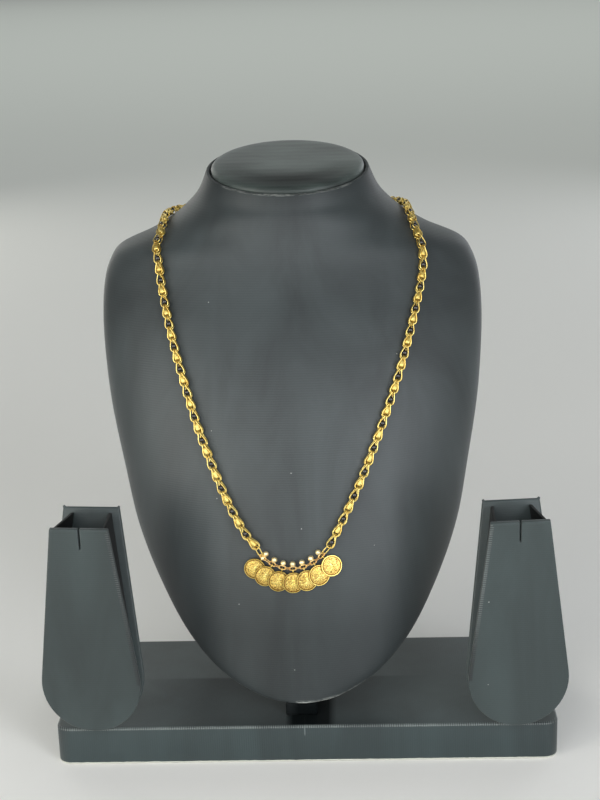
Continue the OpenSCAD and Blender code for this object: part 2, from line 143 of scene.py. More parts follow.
def new_material(name: str) -> tuple[Material, bpy.types.Node]:
    """Makes an empty node material.

    Args:
        name: the material's name.

    Returns:
        The material and its Principled shader, already linked to the output.
    """
    material = bpy.data.materials.new(name)
    material.use_nodes = True
    material.node_tree.nodes.clear()
    shader = add_node(material, "BsdfPrincipled")
    add_node(material, "OutputMaterial", inputs={"Surface": shader.outputs["BSDF"]})
    return material, shader


def wave_scale(pitch_mm: float) -> float:
    """Gives the Wave texture scale whose bands have a real pitch.

    Args:
        pitch_mm: distance from band to band in millimetres.

    Returns:
        The scale for Object coordinates in metres.
    """
    return 2 * math.pi / 20 / (pitch_mm * MM)


@dataclass(frozen=True)
class RibbedLeatherette:
    """Black PVC leatherette, calendered with fine level ribs over a knitted backing.

    To the eye it is a dull dark grey with a soft sheen, faint level lines and some dust.
    """

    name: str
    axis: RibAxis = RibAxis.UP
    dark: str = "#242a2b"
    light: str = "#363d3e"
    roughness: float = 0.5
    rough_spread: tuple[float, float] = (0.06, 0.08)
    shine: float = 0.5
    sheen_share: float = 0.24
    # The real ribs and grain are too fine for the picture, so they are drawn this coarse
    rib_pitch_mm: float = 1.25
    rib_depth_mm: float = 0.02
    rib_tone: float = 0.07
    grain_mm: float = 0.55
    grain_depth_mm: float = 0.03
    grain_tone: float = 0.3
    streak_mm: float = 30.0
    streak_stretch: Triple = (1.0, 1.0, 0.18)
    ramp_low: float = 0.45
    ramp_high: float = 0.85
    # Heights between which the covering grows from its darkest to its full tone
    fade_mm: tuple[float, float] | None = None
    fade_depth: float = 0.4
    speck_cell_mm: float = 15.0
    speck_mm: float = 0.34
    speck_from: float = 0.55
    speck_share: float = 0.7
    speck_tone: str = "#a9aca6"
    # Pale scuffs and a painted highlight, where the mesh marks them, broken by level scratches
    scuffs_and_highlight: bool = False
    rub_stretch: Triple = (0.2, 0.2, 1.0)
    rub_mm: float = 0.526316
    rub_ramp: tuple[float, float] = (0.36, 0.6)
    rub_tone: str = "#b4b8b2"
    # Left, right, lower and upper end of a crease
    crease_mm: tuple[float, float, float, float] | None = None
    crease_soft_mm: tuple[float, float] = (0.3, 1.5)
    crease_tone: str = "#5b6363"
    # Left, right, front and rear end of a painted shadow, with a wide soft border of lighter
    # painted shade
    shade_mm: tuple[float, float, float, float] | None = None
    shade_soft_mm: tuple[float, float] = (9.0, 2.0)
    border_mm: Triple = (55.0, 25.0, 40.0)
    border_share: float = 0.45
    shade_most: float = 0.96
    # Whether the mesh marks painted shade
    marked_shade: bool = False
    shade_tone: str = "#080b0c"
    shade_shine: float = 0.02
    paper_below_mm: float = -1.0
    paper_wave_mm: float = 3.84615
    paper_rag_mm: float = 0.5
    paper_tone: str = "#b7b8ae"

    def make(self) -> Material:
        """Makes the covering's material, with its ribs, grain, streaks and layers.

        Returns:
            The material.
        """
        material, shader = new_material(self.name)
        place = add_node(material, "TexCoord").outputs["Object"]
        ribs = add_node(
            material, "TexWave",
            {"wave_type": "BANDS", "bands_direction": self.axis.value, "wave_profile": "SIN"},
            {"Vector": place, "Scale": wave_scale(self.rib_pitch_mm), "Distortion": 1.6,
             "Detail": 2.0, "Detail Scale": 0.35, "Detail Roughness": 0.6}).outputs["Fac"]
        grain = add_node(material, "TexNoise", inputs={
            "Vector": place, "Scale": 1 / (self.grain_mm * MM), "Detail": 3.0,
            "Roughness": 0.6}).outputs["Fac"]
        drawn = add_node(material, "Mapping", inputs={
            "Vector": place, "Scale": self.streak_stretch}).outputs[0]
        streaks = add_node(material, "TexNoise", inputs={
            "Vector": drawn, "Scale": 1 / (self.streak_mm * MM), "Detail": 4.0,
            "Roughness": 0.55, "Distortion": 0.6}).outputs["Fac"]
        tone = add_node(material, "Math", {"operation": "MULTIPLY_ADD"},
                        {0: ribs, 1: self.rib_tone, 2: streaks}).outputs[0]
        tone = add_node(material, "Math", {"operation": "MULTIPLY_ADD"},
                        {0: grain, 1: self.grain_tone, 2: tone}).outputs[0]
        if self.fade_mm:
            height = add_node(material, "SeparateXYZ", inputs={"Vector": place}).outputs["Z"]
            fade = add_node(material, "MapRange", inputs={
                "Value": height, "From Min": self.fade_mm[0] * MM,
                "From Max": self.fade_mm[1] * MM, "To Min": -self.fade_depth,
                "To Max": 0.0}).outputs[0]
            tone = add_node(material, "Math", {"operation": "ADD"},
                            {0: tone, 1: fade}).outputs[0]
        ramp = add_node(material, "ValToRGB", inputs={"Fac": tone})
        ramp.color_ramp.elements[0].position = self.ramp_low
        ramp.color_ramp.elements[0].color = linear(self.dark)
        ramp.color_ramp.elements[1].position = self.ramp_high
        ramp.color_ramp.elements[1].color = linear(self.light)
        colour = ramp.outputs["Color"]
        for mask, layer_tone in self.layers(material, place):
            colour = add_node(material, "Mix", {"data_type": "RGBA"}, {
                "Factor": mask, 6: colour, 7: linear(layer_tone)}).outputs[2]
            # Painted shade also loses its shine and sheen
            if layer_tone == self.shade_tone:
                self.dull(material, shader, mask)
        rough = add_node(material, "MapRange", inputs={
            "Value": grain, "From Min": NOISE_LOW, "From Max": NOISE_HIGH,
            "To Min": self.roughness - self.rough_spread[0],
            "To Max": self.roughness + self.rough_spread[1]}).outputs[0]
        fine = add_node(material, "Bump", inputs={
            "Height": grain, "Distance": self.grain_depth_mm * MM, "Strength": 0.8})
        bump = add_node(material, "Bump", inputs={
            "Height": ribs, "Distance": self.rib_depth_mm * MM, "Strength": 0.9,
            "Normal": fine.outputs["Normal"]})
        tree = material.node_tree
        tree.links.new(colour, shader.inputs["Base Color"])
        tree.links.new(rough, shader.inputs["Roughness"])
        tree.links.new(bump.outputs["Normal"], shader.inputs["Normal"])
        shader.inputs["IOR"].default_value = 1.5
        shader.inputs["Specular IOR Level"].default_value = self.shine
        shader.inputs["Sheen Weight"].default_value = self.sheen_share * self.shine
        shader.inputs["Sheen Roughness"].default_value = 0.5
        return material

    def layers(self, material: Material, place: Socket) -> list[tuple[Socket, str]]:
        """Makes the masks of all that lies over the covering's own colour.

        Args:
            material: the material being made.
            place: the Object coordinates, in metres.

        Returns:
            A mask and its tone for each layer, from the lowest up.
        """
        layers = [(self.dust(material, place), self.speck_tone)]
        if self.scuffs_and_highlight:
            layers.append((self.scratches_and_highlight(material, place), self.rub_tone))
        if self.crease_mm:
            layers.append((self.crease(material, place), self.crease_tone))
        if self.paper_below_mm > 0:
            layers.append((self.paper_edge(material, place), self.paper_tone))
        if self.shade_mm:
            layers.append((self.shade_place(material, place), self.shade_tone))
        if self.marked_shade:
            mark = add_node(material, "Attribute", {"attribute_name": PAINTED_SHADE_AND_PATINA}).outputs["Fac"]
            layers.append((mark, self.shade_tone))
        return layers

    def dull(self, material: Material, shader: bpy.types.Node, mask: Socket) -> None:
        """Takes the covering's shine and sheen away under painted shade.

        Args:
            material: the material being made.
            shader: its surface shader.
            mask: where the painted shade lies.
        """
        shine = add_node(material, "MapRange", inputs={
            "Value": mask, "To Min": self.shine, "To Max": self.shade_shine}).outputs[0]
        sheen = add_node(material, "MapRange", inputs={
            "Value": mask, "To Min": self.sheen_share * self.shine, "To Max": 0.0}).outputs[0]
        material.node_tree.links.new(shine, shader.inputs["Specular IOR Level"])
        material.node_tree.links.new(sheen, shader.inputs["Sheen Weight"])

    def dust(self, material: Material, place: Socket) -> Socket:
        """Makes the mask of faint scattered specks of dust.

        Args:
            material: the material being made.
            place: the Object coordinates.

        Returns:
            The mask.
        """
        cells = add_node(material, "TexVoronoi", {"feature": "F1"}, {
            "Vector": place, "Scale": 1 / (self.speck_cell_mm * MM)})
        near = add_node(material, "Math", {"operation": "LESS_THAN"}, {
            0: cells.outputs["Distance"], 1: self.speck_mm / self.speck_cell_mm}).outputs[0]
        some = add_node(material, "Math", {"operation": "GREATER_THAN"}, {
            0: add_node(material, "SeparateColor", inputs={
                "Color": cells.outputs["Color"]}).outputs["Red"], 1: self.speck_from}).outputs[0]
        both = add_node(material, "Math", {"operation": "MULTIPLY"}, {0: near, 1: some})
        return add_node(material, "Math", {"operation": "MULTIPLY"},
                        {0: both.outputs[0], 1: self.speck_share}).outputs[0]

    def window(self, material: Material, value: Socket,
               low_mm: float, high_mm: float, soft_mm: float) -> Socket:
        """Makes a soft mask that is one between two values.

        Args:
            material: the material being made.
            value: the coordinate to test, in metres.
            low_mm: where the mask begins.
            high_mm: where the mask ends.
            soft_mm: width of its soft edge.

        Returns:
            The mask.
        """
        rise = add_node(material, "MapRange", inputs={
            "Value": value, "From Min": (low_mm - soft_mm) * MM,
            "From Max": low_mm * MM}).outputs[0]
        fall = add_node(material, "MapRange", inputs={
            "Value": value, "From Min": high_mm * MM, "From Max": (high_mm + soft_mm) * MM,
            "To Min": 1.0, "To Max": 0.0}).outputs[0]
        return add_node(material, "Math", {"operation": "MULTIPLY"},
                        {0: rise, 1: fall}).outputs[0]

    def scratches_and_highlight(self, material: Material, place: Socket) -> Socket:
        """Makes the mask of level scratches, where the mesh marks pale scuffs and a painted
        highlight.

        Args:
            material: the material being made.
            place: the Object coordinates.

        Returns:
            The mask.
        """
        scuffs_and_highlight = add_node(material, "Attribute", {"attribute_name": SCUFF_AND_HIGHLIGHT}).outputs["Fac"]
        drawn = add_node(material, "Mapping", inputs={
            "Vector": place, "Scale": self.rub_stretch}).outputs[0]
        scratch = add_node(material, "TexNoise", inputs={
            "Vector": drawn, "Scale": 1 / (self.rub_mm * MM), "Detail": 3.0}).outputs["Fac"]
        scratch = add_node(material, "MapRange", inputs={
            "Value": scratch, "From Min": self.rub_ramp[0],
            "From Max": self.rub_ramp[1]}).outputs[0]
        return add_node(material, "Math", {"operation": "MULTIPLY"},
                        {0: scuffs_and_highlight, 1: scratch}).outputs[0]

    def crease(self, material: Material, place: Socket) -> Socket:
        """Makes the mask of one short crease down a covered edge.

        Args:
            material: the material being made.
            place: the Object coordinates.

        Returns:
            The mask.
        """
        split = add_node(material, "SeparateXYZ", inputs={"Vector": place})
        x_low, x_high, z_low, z_high = self.crease_mm
        soft_x, soft_z = self.crease_soft_mm
        across = self.window(material, split.outputs["X"], x_low, x_high, soft_x)
        up = self.window(material, split.outputs["Z"], z_low, z_high, soft_z)
        return add_node(material, "Math", {"operation": "MULTIPLY"},
                        {0: across, 1: up}).outputs[0]

    def paper_edge(self, material: Material, place: Socket) -> Socket:
        """Makes the mask of the ragged lining paper under the lowest edge.

        Args:
            material: the material being made.
            place: the Object coordinates.

        Returns:
            The mask.
        """
        split = add_node(material, "SeparateXYZ", inputs={"Vector": place})
        ragged = add_node(material, "TexNoise", inputs={
            "Vector": place, "Scale": 1 / (self.paper_wave_mm * MM),
            "Detail": 2.0}).outputs["Fac"]
        height = add_node(material, "Math", {"operation": "MULTIPLY_ADD"}, {
            0: ragged, 1: -self.paper_rag_mm * MM, 2: split.outputs["Z"]}).outputs[0]
        return add_node(material, "Math", {"operation": "LESS_THAN"}, {
            0: height, 1: (self.paper_below_mm - self.paper_rag_mm / 2) * MM}).outputs[0]

    def shade_place(self, material: Material, place: Socket) -> Socket:
        """Makes the mask of a painted shadow, with its wide soft border.

        Args:
            material: the material being made.
            place: the Object coordinates.

        Returns:
            The mask.
        """
        split = add_node(material, "SeparateXYZ", inputs={"Vector": place})
        x_low, x_high, y_low, y_high = self.shade_mm
        soft_x, soft_y = self.shade_soft_mm
        left, right, wide = self.border_mm
        across = self.window(material, split.outputs["X"], x_low, x_high, soft_x)
        border = self.window(material, split.outputs["X"], x_low - left, x_high + right, wide)
        along = self.window(material, split.outputs["Y"], y_low, y_high, soft_y)
        mask = add_node(material, "Math", {"operation": "MULTIPLY_ADD"},
                        {0: border, 1: self.border_share, 2: across}).outputs[0]
        mask = add_node(material, "Math", {"operation": "MINIMUM"},
                        {0: mask, 1: self.shade_most})
        return add_node(material, "Math", {"operation": "MULTIPLY"},
                        {0: mask.outputs[0], 1: along}).outputs[0]


@dataclass(frozen=True)
class PolishedGold:
    """Gold-plated brass, cast or drawn and then tumbled.

    To the eye it is bright and warm, with soft dents and a plating of uneven depth.
    """

    name: str
    bright: str = "#ead480"
    deep: str = "#d9b45a"
    roughness: float = 0.3
    rough_spread: tuple[float, float] = (0.05, 0.08)
    plating_mm: float = 2.2
    plating_ramp: tuple[float, float] = (0.3, 0.58)
    # Patina in the hollows, and painted shade, where the mesh marks them
    patina: bool = False
    patina_tone: str = "#6b451c"
    dent_mm: float = 0.5
    dent_depth_mm: float = 0.01

    def make(self) -> Material:
        """Makes the gold, with its uneven plating and tumbled dents.

        Returns:
            The material.
        """
        material, shader = new_material(self.name)
        place = add_node(material, "TexCoord").outputs["Object"]
        plating = add_node(material, "TexNoise", inputs={
            "Vector": place, "Scale": 1 / (self.plating_mm * MM), "Detail": 2.0}).outputs["Fac"]
        ramp = add_node(material, "ValToRGB", inputs={"Fac": plating})
        ramp.color_ramp.elements[0].position = self.plating_ramp[0]
        ramp.color_ramp.elements[0].color = linear(self.deep)
        ramp.color_ramp.elements[1].position = self.plating_ramp[1]
        ramp.color_ramp.elements[1].color = linear(self.bright)
        colour = ramp.outputs["Color"]
        if self.patina:
            mark = add_node(material, "Attribute", {"attribute_name": PAINTED_SHADE_AND_PATINA}).outputs["Fac"]
            colour = add_node(material, "Mix", {"data_type": "RGBA"}, {
                "Factor": mark, 6: colour, 7: linear(self.patina_tone)}).outputs[2]
        dents = add_node(material, "TexNoise", inputs={
            "Vector": place, "Scale": 1 / (self.dent_mm * MM), "Detail": 2.0}).outputs["Fac"]
        bump = add_node(material, "Bump", inputs={
            "Height": dents, "Distance": self.dent_depth_mm * MM, "Strength": 1.0})
        rough = add_node(material, "MapRange", inputs={
            "Value": dents, "From Min": NOISE_LOW, "From Max": NOISE_HIGH,
            "To Min": self.roughness - self.rough_spread[0],
            "To Max": self.roughness + self.rough_spread[1]}).outputs[0]
        tree = material.node_tree
        tree.links.new(colour, shader.inputs["Base Color"])
        tree.links.new(rough, shader.inputs["Roughness"])
        tree.links.new(bump.outputs["Normal"], shader.inputs["Normal"])
        shader.inputs["Metallic"].default_value = 1.0
        return material


@dataclass(frozen=True)
class BlackGlass:
    """Wound black glass, fire-polished.

    To the eye it is near black, with a small hard highlight.
    """

    name: str
    tone: str = "#150d0d"
    deep: str = "#070505"
    swirl_mm: float = 1.2
    swirl_depth_mm: float = 0.01
    roughness: float = 0.22
    shine: float = 0.6
    ior: float = 1.6

    def make(self) -> Material:
        """Makes the glass, with the faint swirl of its winding.

        Returns:
            The material.
        """
        material, shader = new_material(self.name)
        place = add_node(material, "TexCoord").outputs["Object"]
        swirl = add_node(material, "TexNoise", inputs={
            "Vector": place, "Scale": 1 / (self.swirl_mm * MM), "Detail": 2.0}).outputs["Fac"]
        ramp = add_node(material, "ValToRGB", inputs={"Fac": swirl})
        ramp.color_ramp.elements[0].color = linear(self.deep)
        ramp.color_ramp.elements[1].color = linear(self.tone)
        bump = add_node(material, "Bump", inputs={
            "Height": swirl, "Distance": self.swirl_depth_mm * MM, "Strength": 0.5})
        tree = material.node_tree
        tree.links.new(ramp.outputs["Color"], shader.inputs["Base Color"])
        tree.links.new(bump.outputs["Normal"], shader.inputs["Normal"])
        shader.inputs["Roughness"].default_value = self.roughness
        shader.inputs["Specular IOR Level"].default_value = self.shine
        shader.inputs["IOR"].default_value = self.ior
        return material


@dataclass(frozen=True)
class MattePaint:
    """Pale matt floor paint, rolled.

    To the eye it is even, with a faint orange peel.
    """

    name: str
    tone: str = "#efeeea"
    roughness: float = 0.75
    peel_mm: float = 3.84615
    peel_depth_mm: float = 0.02

    def make(self) -> Material:
        """Makes the paint, with its faint roller texture.

        Returns:
            The material.
        """
        material, shader = new_material(self.name)
        place = add_node(material, "TexCoord").outputs["Object"]
        peel = add_node(material, "TexNoise", inputs={
            "Vector": place, "Scale": 1 / (self.peel_mm * MM), "Detail": 2.0}).outputs["Fac"]
        bump = add_node(material, "Bump", inputs={
            "Height": peel, "Distance": self.peel_depth_mm * MM, "Strength": 0.3})
        shader.inputs["Base Color"].default_value = linear(self.tone)
        shader.inputs["Roughness"].default_value = self.roughness
        material.node_tree.links.new(bump.outputs["Normal"], shader.inputs["Normal"])
        return material


# Modelling helpers


def deselect() -> None:
    """Leaves object mode ready for a new piece, with nothing selected."""
    if bpy.context.mode != "OBJECT":
        bpy.ops.object.mode_set(mode="OBJECT")
    bpy.ops.object.select_all(action="DESELECT")


def select_only(piece: Piece) -> None:
    """Makes one object the selected and active one.

    Args:
        piece: the object to select.
    """
    deselect()
    piece.select_set(True)
    bpy.context.view_layer.objects.active = piece


def latest(name: str) -> Piece:
    """Names the object that an operator has just added.

    Args:
        name: its new name.

    Returns:
        The object.
    """
    piece = bpy.context.view_layer.objects.active
    piece.name = name
    piece.data.name = name
    return piece


def settle(piece: Piece) -> Piece:
    """Puts a piece's place, turn and scale into its mesh.

    Args:
        piece: the object to settle.

    Returns:
        The same object, at the origin.
    """
    select_only(piece)
    bpy.ops.object.transform_apply(location=True, rotation=True, scale=True)
    return piece


def joined(pieces: list[Piece], name: str) -> Piece:
    """Joins meshes to one object.

    Args:
        pieces: the objects to join.
        name: the joined object's name.

    Returns:
        The joined object.
    """
    deselect()
    for piece in pieces:
        piece.select_set(True)
    bpy.context.view_layer.objects.active = pieces[0]
    if len(pieces) > 1:
        bpy.ops.object.join()
    return latest(name)


def apply_modifier(piece: Piece, kind: str, **settings: object) -> None:
    """Adds a modifier and applies it at once.

    Args:
        piece: the object to modify.
        kind: the modifier's type.
        **settings: its properties.
    """
    select_only(piece)
    modifier = piece.modifiers.new(kind.lower(), kind)
    for name, value in settings.items():
        setattr(modifier, name, value)
    bpy.ops.object.modifier_apply(modifier=modifier.name)


def smooth(piece: Piece, angle: float = 35.0) -> None:
    """Shades a piece smooth, except over sharp edges.

    Args:
        piece: the object to shade.
        angle: the largest angle in degrees that still counts as smooth.
    """
    select_only(piece)
    bpy.ops.object.shade_smooth_by_angle(angle=math.radians(angle))


@contextmanager
def editing(piece: Piece) -> Iterator[None]:
    """Holds edit mode open on one object.

    Args:
        piece: the object to edit.

    Yields:
        Nothing.
    """
    select_only(piece)
    bpy.ops.object.mode_set(mode="EDIT")
    yield
    bpy.ops.object.mode_set(mode="OBJECT")


def outward(piece: Piece, merge_mm: float = 0.002, flat: float = 0.0) -> None:
    """Merges a piece's doubles and turns its faces outward.

    Args:
        piece: the object to clean.
        merge_mm: the distance within which points are one.
        flat: the angle in degrees within which faces are merged, or zero for none.
    """
    with editing(piece):
        bpy.ops.mesh.select_all(action="SELECT")
        bpy.ops.mesh.remove_doubles(threshold=merge_mm * MM)
        if flat:
            bpy.ops.mesh.dissolve_limited(angle_limit=math.radians(flat))
        bpy.ops.mesh.normals_make_consistent(inside=False)


def point_places(piece: Piece) -> np.ndarray:
    """Reads the places of a mesh's points.

    Args:
        piece: the object.

    Returns:
        The places in metres, a row for each point.
    """
    flat = np.zeros(len(piece.data.vertices) * 3)
    piece.data.vertices.foreach_get("co", flat)
    return flat.reshape(-1, 3)


def mark_points(piece: Piece, name: str, values: np.ndarray) -> None:
    """Writes a number at each point of a mesh, for a finish to read.

    Args:
        piece: the object to mark.
        name: the mark's name.
        values: a number from zero to one for each point.
    """
    piece.data.attributes.new(name, "FLOAT", "POINT").data.foreach_set("value", values)


def node_copy(node: str, name: str) -> Piece:
    """Copies a CAD node's mesh to a new piece with whole flat faces.

    Args:
        node: the CAD node.
        name: the new piece's name.

    Returns:
        The new piece, merged and with its flat faces dissolved.
    """
    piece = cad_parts[node].copy()
    piece.data = piece.data.copy()
    piece.parent = None
    piece.matrix_world = Matrix.Identity(4)
    for key in list(piece.keys()):
        del piece[key]
    bpy.context.scene.collection.objects.link(piece)
    select_only(piece)
    latest(name)
    outward(piece, merge_mm=0.004, flat=0.6)
    return piece


def two_slots(piece: Piece) -> None:
    """Gives a piece two empty material slots.

    Args:
        piece: the object.
    """
    piece.data.materials.clear()
    piece.data.materials.append(None)
    piece.data.materials.append(None)


def soften(piece: Piece, width_mm: float, segments: int, angle: float) -> None:
    """Rounds a piece's sharp edges, as covering stretched over a board does.

    The rounded faces take the piece's second material.

    Args:
        piece: the object to soften.
        width_mm: width of the rounding.
        segments: its number of steps.
        angle: the least angle in degrees of an edge that is rounded.
    """
    two_slots(piece)
    apply_modifier(piece, "BEVEL", width=width_mm * MM, segments=segments,
                   limit_method="ANGLE", angle_limit=math.radians(angle), material=1,
                   use_clamp_overlap=True, harden_normals=False)


def keep_second(piece: Piece, wanted: Callable[[Vector], bool]) -> None:
    """Leaves the second material only on some of the faces that have it.

    Args:
        piece: the object.
        wanted: tells from a face's middle, in millimetres, whether it keeps it.
    """
    for face in piece.data.polygons:
        if face.material_index == 1 and not wanted(face.center / MM):
            face.material_index = 0


def wrapped_grid(name: str, rings: np.ndarray, cap_start: bool = True,
                 cap_end: bool = True) -> Piece:
    """Wraps a grid primitive round a row of closed rings.

    Args:
        name: the piece's name.
        rings: points in metres, as rings by points by three.
        cap_start: whether the first ring is closed with a face.
        cap_end: whether the last ring is closed with a face.

    Returns:
        The closed piece.
    """
    rows, around = rings.shape[0], rings.shape[1]
    deselect()
    bpy.ops.mesh.primitive_grid_add(x_subdivisions=around, y_subdivisions=rows - 1, size=1.0)
    piece = latest(name)
    flat = point_places(piece)
    column = np.rint((flat[:, 0] + 0.5) * around).astype(int) % around
    row = np.rint((flat[:, 1] + 0.5) * (rows - 1)).astype(int)
    piece.data.vertices.foreach_set("co", rings[row, column].reshape(-1))
    piece.data.update()
    with editing(piece):
        bpy.ops.mesh.select_all(action="SELECT")
        bpy.ops.mesh.remove_doubles(threshold=0.001 * MM)
        bpy.ops.mesh.select_all(action="DESELECT")
    for wanted, ring in ((cap_start, rings[0]), (cap_end, rings[-1])):
        if wanted:
            cap_ring(piece, ring)
    outward(piece)
    return piece


def cap_ring(piece: Piece, ring: np.ndarray) -> None:
    """Closes an open ring of a piece with one face.

    Args:
        piece: the object to close.
        ring: the ring's points.
    """
    near = [bool(np.min(np.sum((ring - p) ** 2, axis=1)) < (0.0005 * MM) ** 2)
            for p in point_places(piece)]
    piece.data.vertices.foreach_set("select", near)
    for edge in piece.data.edges:
        edge.select = near[edge.vertices[0]] and near[edge.vertices[1]]
    with editing(piece):
        bpy.ops.mesh.select_mode(type="EDGE")
        bpy.ops.mesh.edge_face_add()
        bpy.ops.mesh.select_mode(type="VERT")


def wire_loop(name: str, points: PointList, wire_mm: float, steps: int = 3,
              sides: int = 2) -> Piece:
    """Bends round wire along a closed smooth path.

    Args:
        name: the piece's name.
        points: the path's points in millimetres.
        wire_mm: the wire's diameter.
        steps: curve steps from one point to the next.
        sides: bevel resolution of the wire's round section.

    Returns:
        The wire as a mesh.
    """
    deselect()
    bpy.ops.curve.primitive_nurbs_circle_add(radius=1.0)
    piece = latest(name)
    with editing(piece):
        bpy.ops.curve.select_all(action="SELECT")
        bpy.ops.curve.spline_type_set(type="POLY")
    spline = piece.data.splines[0]
    path = smooth_loop(np.array(points), steps)
    spline.points.add(len(path) - len(spline.points))
    for knot, p in zip(spline.points, path):
        knot.co = (p[0] * MM, p[1] * MM, p[2] * MM, 1.0)
    spline.use_cyclic_u = True
    piece.data.dimensions = "3D"
    piece.data.bevel_depth = wire_mm * MM / 2
    piece.data.bevel_resolution = sides
    piece.data.twist_mode = "MINIMUM"
    select_only(piece)
    bpy.ops.object.convert(target="MESH")
    piece = latest(name)
    outward(piece)
    return piece


def between(a: np.ndarray, b: np.ndarray, c: np.ndarray, d: np.ndarray, f: float) -> np.ndarray:
    """Reads the smooth curve through four points, on its middle stretch.

    Args:
        a: the point before the stretch.
        b: the point where it begins.
        c: the point where it ends.
        d: the point after it.
        f: the share of the stretch that has been run.

    Returns:
        The curve's point.
    """
    return 0.5 * (2 * b + (c - a) * f + (2 * a - 5 * b + 4 * c - d) * f * f
                  + (3 * b - a - 3 * c + d) * f ** 3)


def smooth_loop(points: np.ndarray, steps: int) -> np.ndarray:
    """Passes a smooth closed curve through points.

    Args:
        points: the points that the curve goes through.
        steps: how many steps each stretch is cut into.

    Returns:
        The curve's points.
    """
    count = len(points)
    out = []
    for i in range(count):
        a, b, c, d = (points[(i + k) % count] for k in (-1, 0, 1, 2))
        out += [between(a, b, c, d, k / steps) for k in range(steps)]
    return np.array(out)


def ball(name: str, radius_mm: float, segments: int = 20, rings: int = 12) -> Piece:
    """Adds a ball at the origin.

    Args:
        name: the piece's name.
        radius_mm: its radius.
        segments: its steps round.
        rings: its steps from pole to pole.

    Returns:
        The ball.
    """
    deselect()
    bpy.ops.mesh.primitive_uv_sphere_add(segments=segments, ring_count=rings,
                                         radius=radius_mm * MM)
    return latest(name)


def hoop(name: str, radius_mm: float, half_mm: float, steps: int, sides: int = 6) -> Piece:
    """Adds a level ring of round section at the origin.

    Args:
        name: the piece's name.
        radius_mm: radius of its middle line.
        half_mm: radius of its section.
        steps: its steps round.
        sides: its steps round the section.

    Returns:
        The ring.
    """
    deselect()
    bpy.ops.mesh.primitive_torus_add(major_segments=steps, minor_segments=sides,
                                     major_radius=radius_mm * MM, minor_radius=half_mm * MM)
    return latest(name)


def set_at(piece: Piece, place: Triple, turn: Triple = (0.0, 0.0, 0.0),
           scale: Triple = (1.0, 1.0, 1.0)) -> Piece:
    """Stretches, turns and moves a new piece to its place, in its mesh.

    Args:
        piece: the piece at the origin.
        place: where it goes, in millimetres.
        turn: degrees about X, Y and Z.
        scale: its stretch along X, Y and Z.

    Returns:
        The same piece.
    """
    piece.scale = scale
    piece.rotation_euler = [math.radians(angle) for angle in turn]
    piece.location = [c * MM for c in place]
    return settle(piece)


def placed_copy(model: Piece, place: Matrix, name: str) -> Piece:
    """Copies a model piece to a place, with a mesh of its own.

    Args:
        model: the piece that was modelled once.
        place: where the copy goes.
        name: the copy's name.

    Returns:
        The copy, with its place in its mesh.
    """
    copy = model.copy()
    copy.data = model.data.copy()
    copy.name = name
    copy.data.name = name
    copy.data.transform(place)
    bpy.context.scene.collection.objects.link(copy)
    return copy


def dress(piece: Piece, finish: Material, slot: Slot,
          *nodes: str, second: Material | None = None) -> Piece:
    """Gives a piece its finish and ties it to the frame.

    Args:
        piece: the finished mesh.
        finish: its material.
        slot: the record's slot that it belongs to; not used.
        *nodes: CAD nodes that it stands for.
        second: the finish of the faces with the second material.

    Returns:
        The piece.
    """
    faces = piece.data.polygons
    marks = [face.material_index for face in faces] if second else [0] * len(faces)
    piece.data.materials.clear()
    piece.data.materials.append(finish)
    if second:
        piece.data.materials.append(second)
    faces.foreach_set("material_index", marks)
    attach(piece, ROOT)
    if nodes:
        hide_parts(*nodes)
    LOG.info("%s: %d faces", piece.name, len(piece.data.polygons))
    return piece


# The bust's surface, which carries the necklace

# Depth of the CAD frame's origin behind the base's front edge, in millimetres
ORIGIN_Y = 83.197
SECTION_ROWS = np.array([
    # height, half width, front y, front depth, back depth
    [30.7, 8, 11.0, 1.5, 1.5], [33.5, 23, 11.4, 5.0, 4.0], [44, 45, 13.0, 14.0, 8.0],
    [62, 64, 15.8, 26.0, 12.0], [88, 80, 20.0, 38.5, 15.0], [118, 92.5, 25.9, 47.2, 18.0],
    [150, 100.0, 34.7, 51.6, 21.0], [182, 106.3, 45.5, 51.5, 24.0],
    [208, 109.6, 58.1, 49.2, 26.6], [230, 111.3, 71.8, 47.2, 29.0],
    [248, 110.8, 84.2, 46.6, 31.0], [260, 107.6, 91.4, 46.5, 33.0],
    [269, 100.7, 95.6, 46.1, 34.5], [277, 82.2, 98.3, 45.2, 35.2],
    [284, 70.0, 100.2, 44.4, 35.9], [291, 60.8, 101.7, 43.6, 36.9],
    [299, 53.3, 103.2, 42.6, 38.6], [310, 48.2, 104.8, 41.3, 41.3]])
LEFT_ROUTE = np.array([
    # angle from the front middle, height
    [-13.1, 119.0], [-16.9, 126.6], [-22.0, 144.0], [-25.8, 162.5], [-29.2, 181.5],
    [-32.1, 199.8], [-34.9, 216.3], [-37.5, 232.8], [-40.4, 249.5], [-44.8, 264.6],
    [-53.5, 272.6], [-65.5, 278.0], [-78.0, 281.8], [-92.0, 283.2], [-110.0, 283.2],
    [-130.0, 283.0], [-155.0, 283.0], [-180.0, 283.0]])
RIGHT_ROUTE = np.array([
    [11.5, 119.0], [16.1, 133.6], [21.2, 151.7], [25.3, 169.7], [29.2, 188.0],
    [32.9, 205.2], [36.1, 221.7], [39.3, 237.6], [43.0, 253.3], [48.3, 268.7],
    [58.4, 275.8], [70.5, 281.2], [83.0, 284.9], [98.0, 285.6], [120.0, 284.6],
    [150.0, 283.4], [180.0, 283.0]])


def curve_at(rows: np.ndarray, t: float) -> np.ndarray:
    """Reads a smooth curve through a table's rows.

    Args:
        rows: the table.
        t: the row number, which may be a fraction.

    Returns:
        The row at that place.
    """
    last = len(rows) - 1
    i = min(int(math.floor(t)), last - 1)
    return between(rows[max(i - 1, 0)], rows[i], rows[i + 1], rows[min(i + 2, last)], t - i)


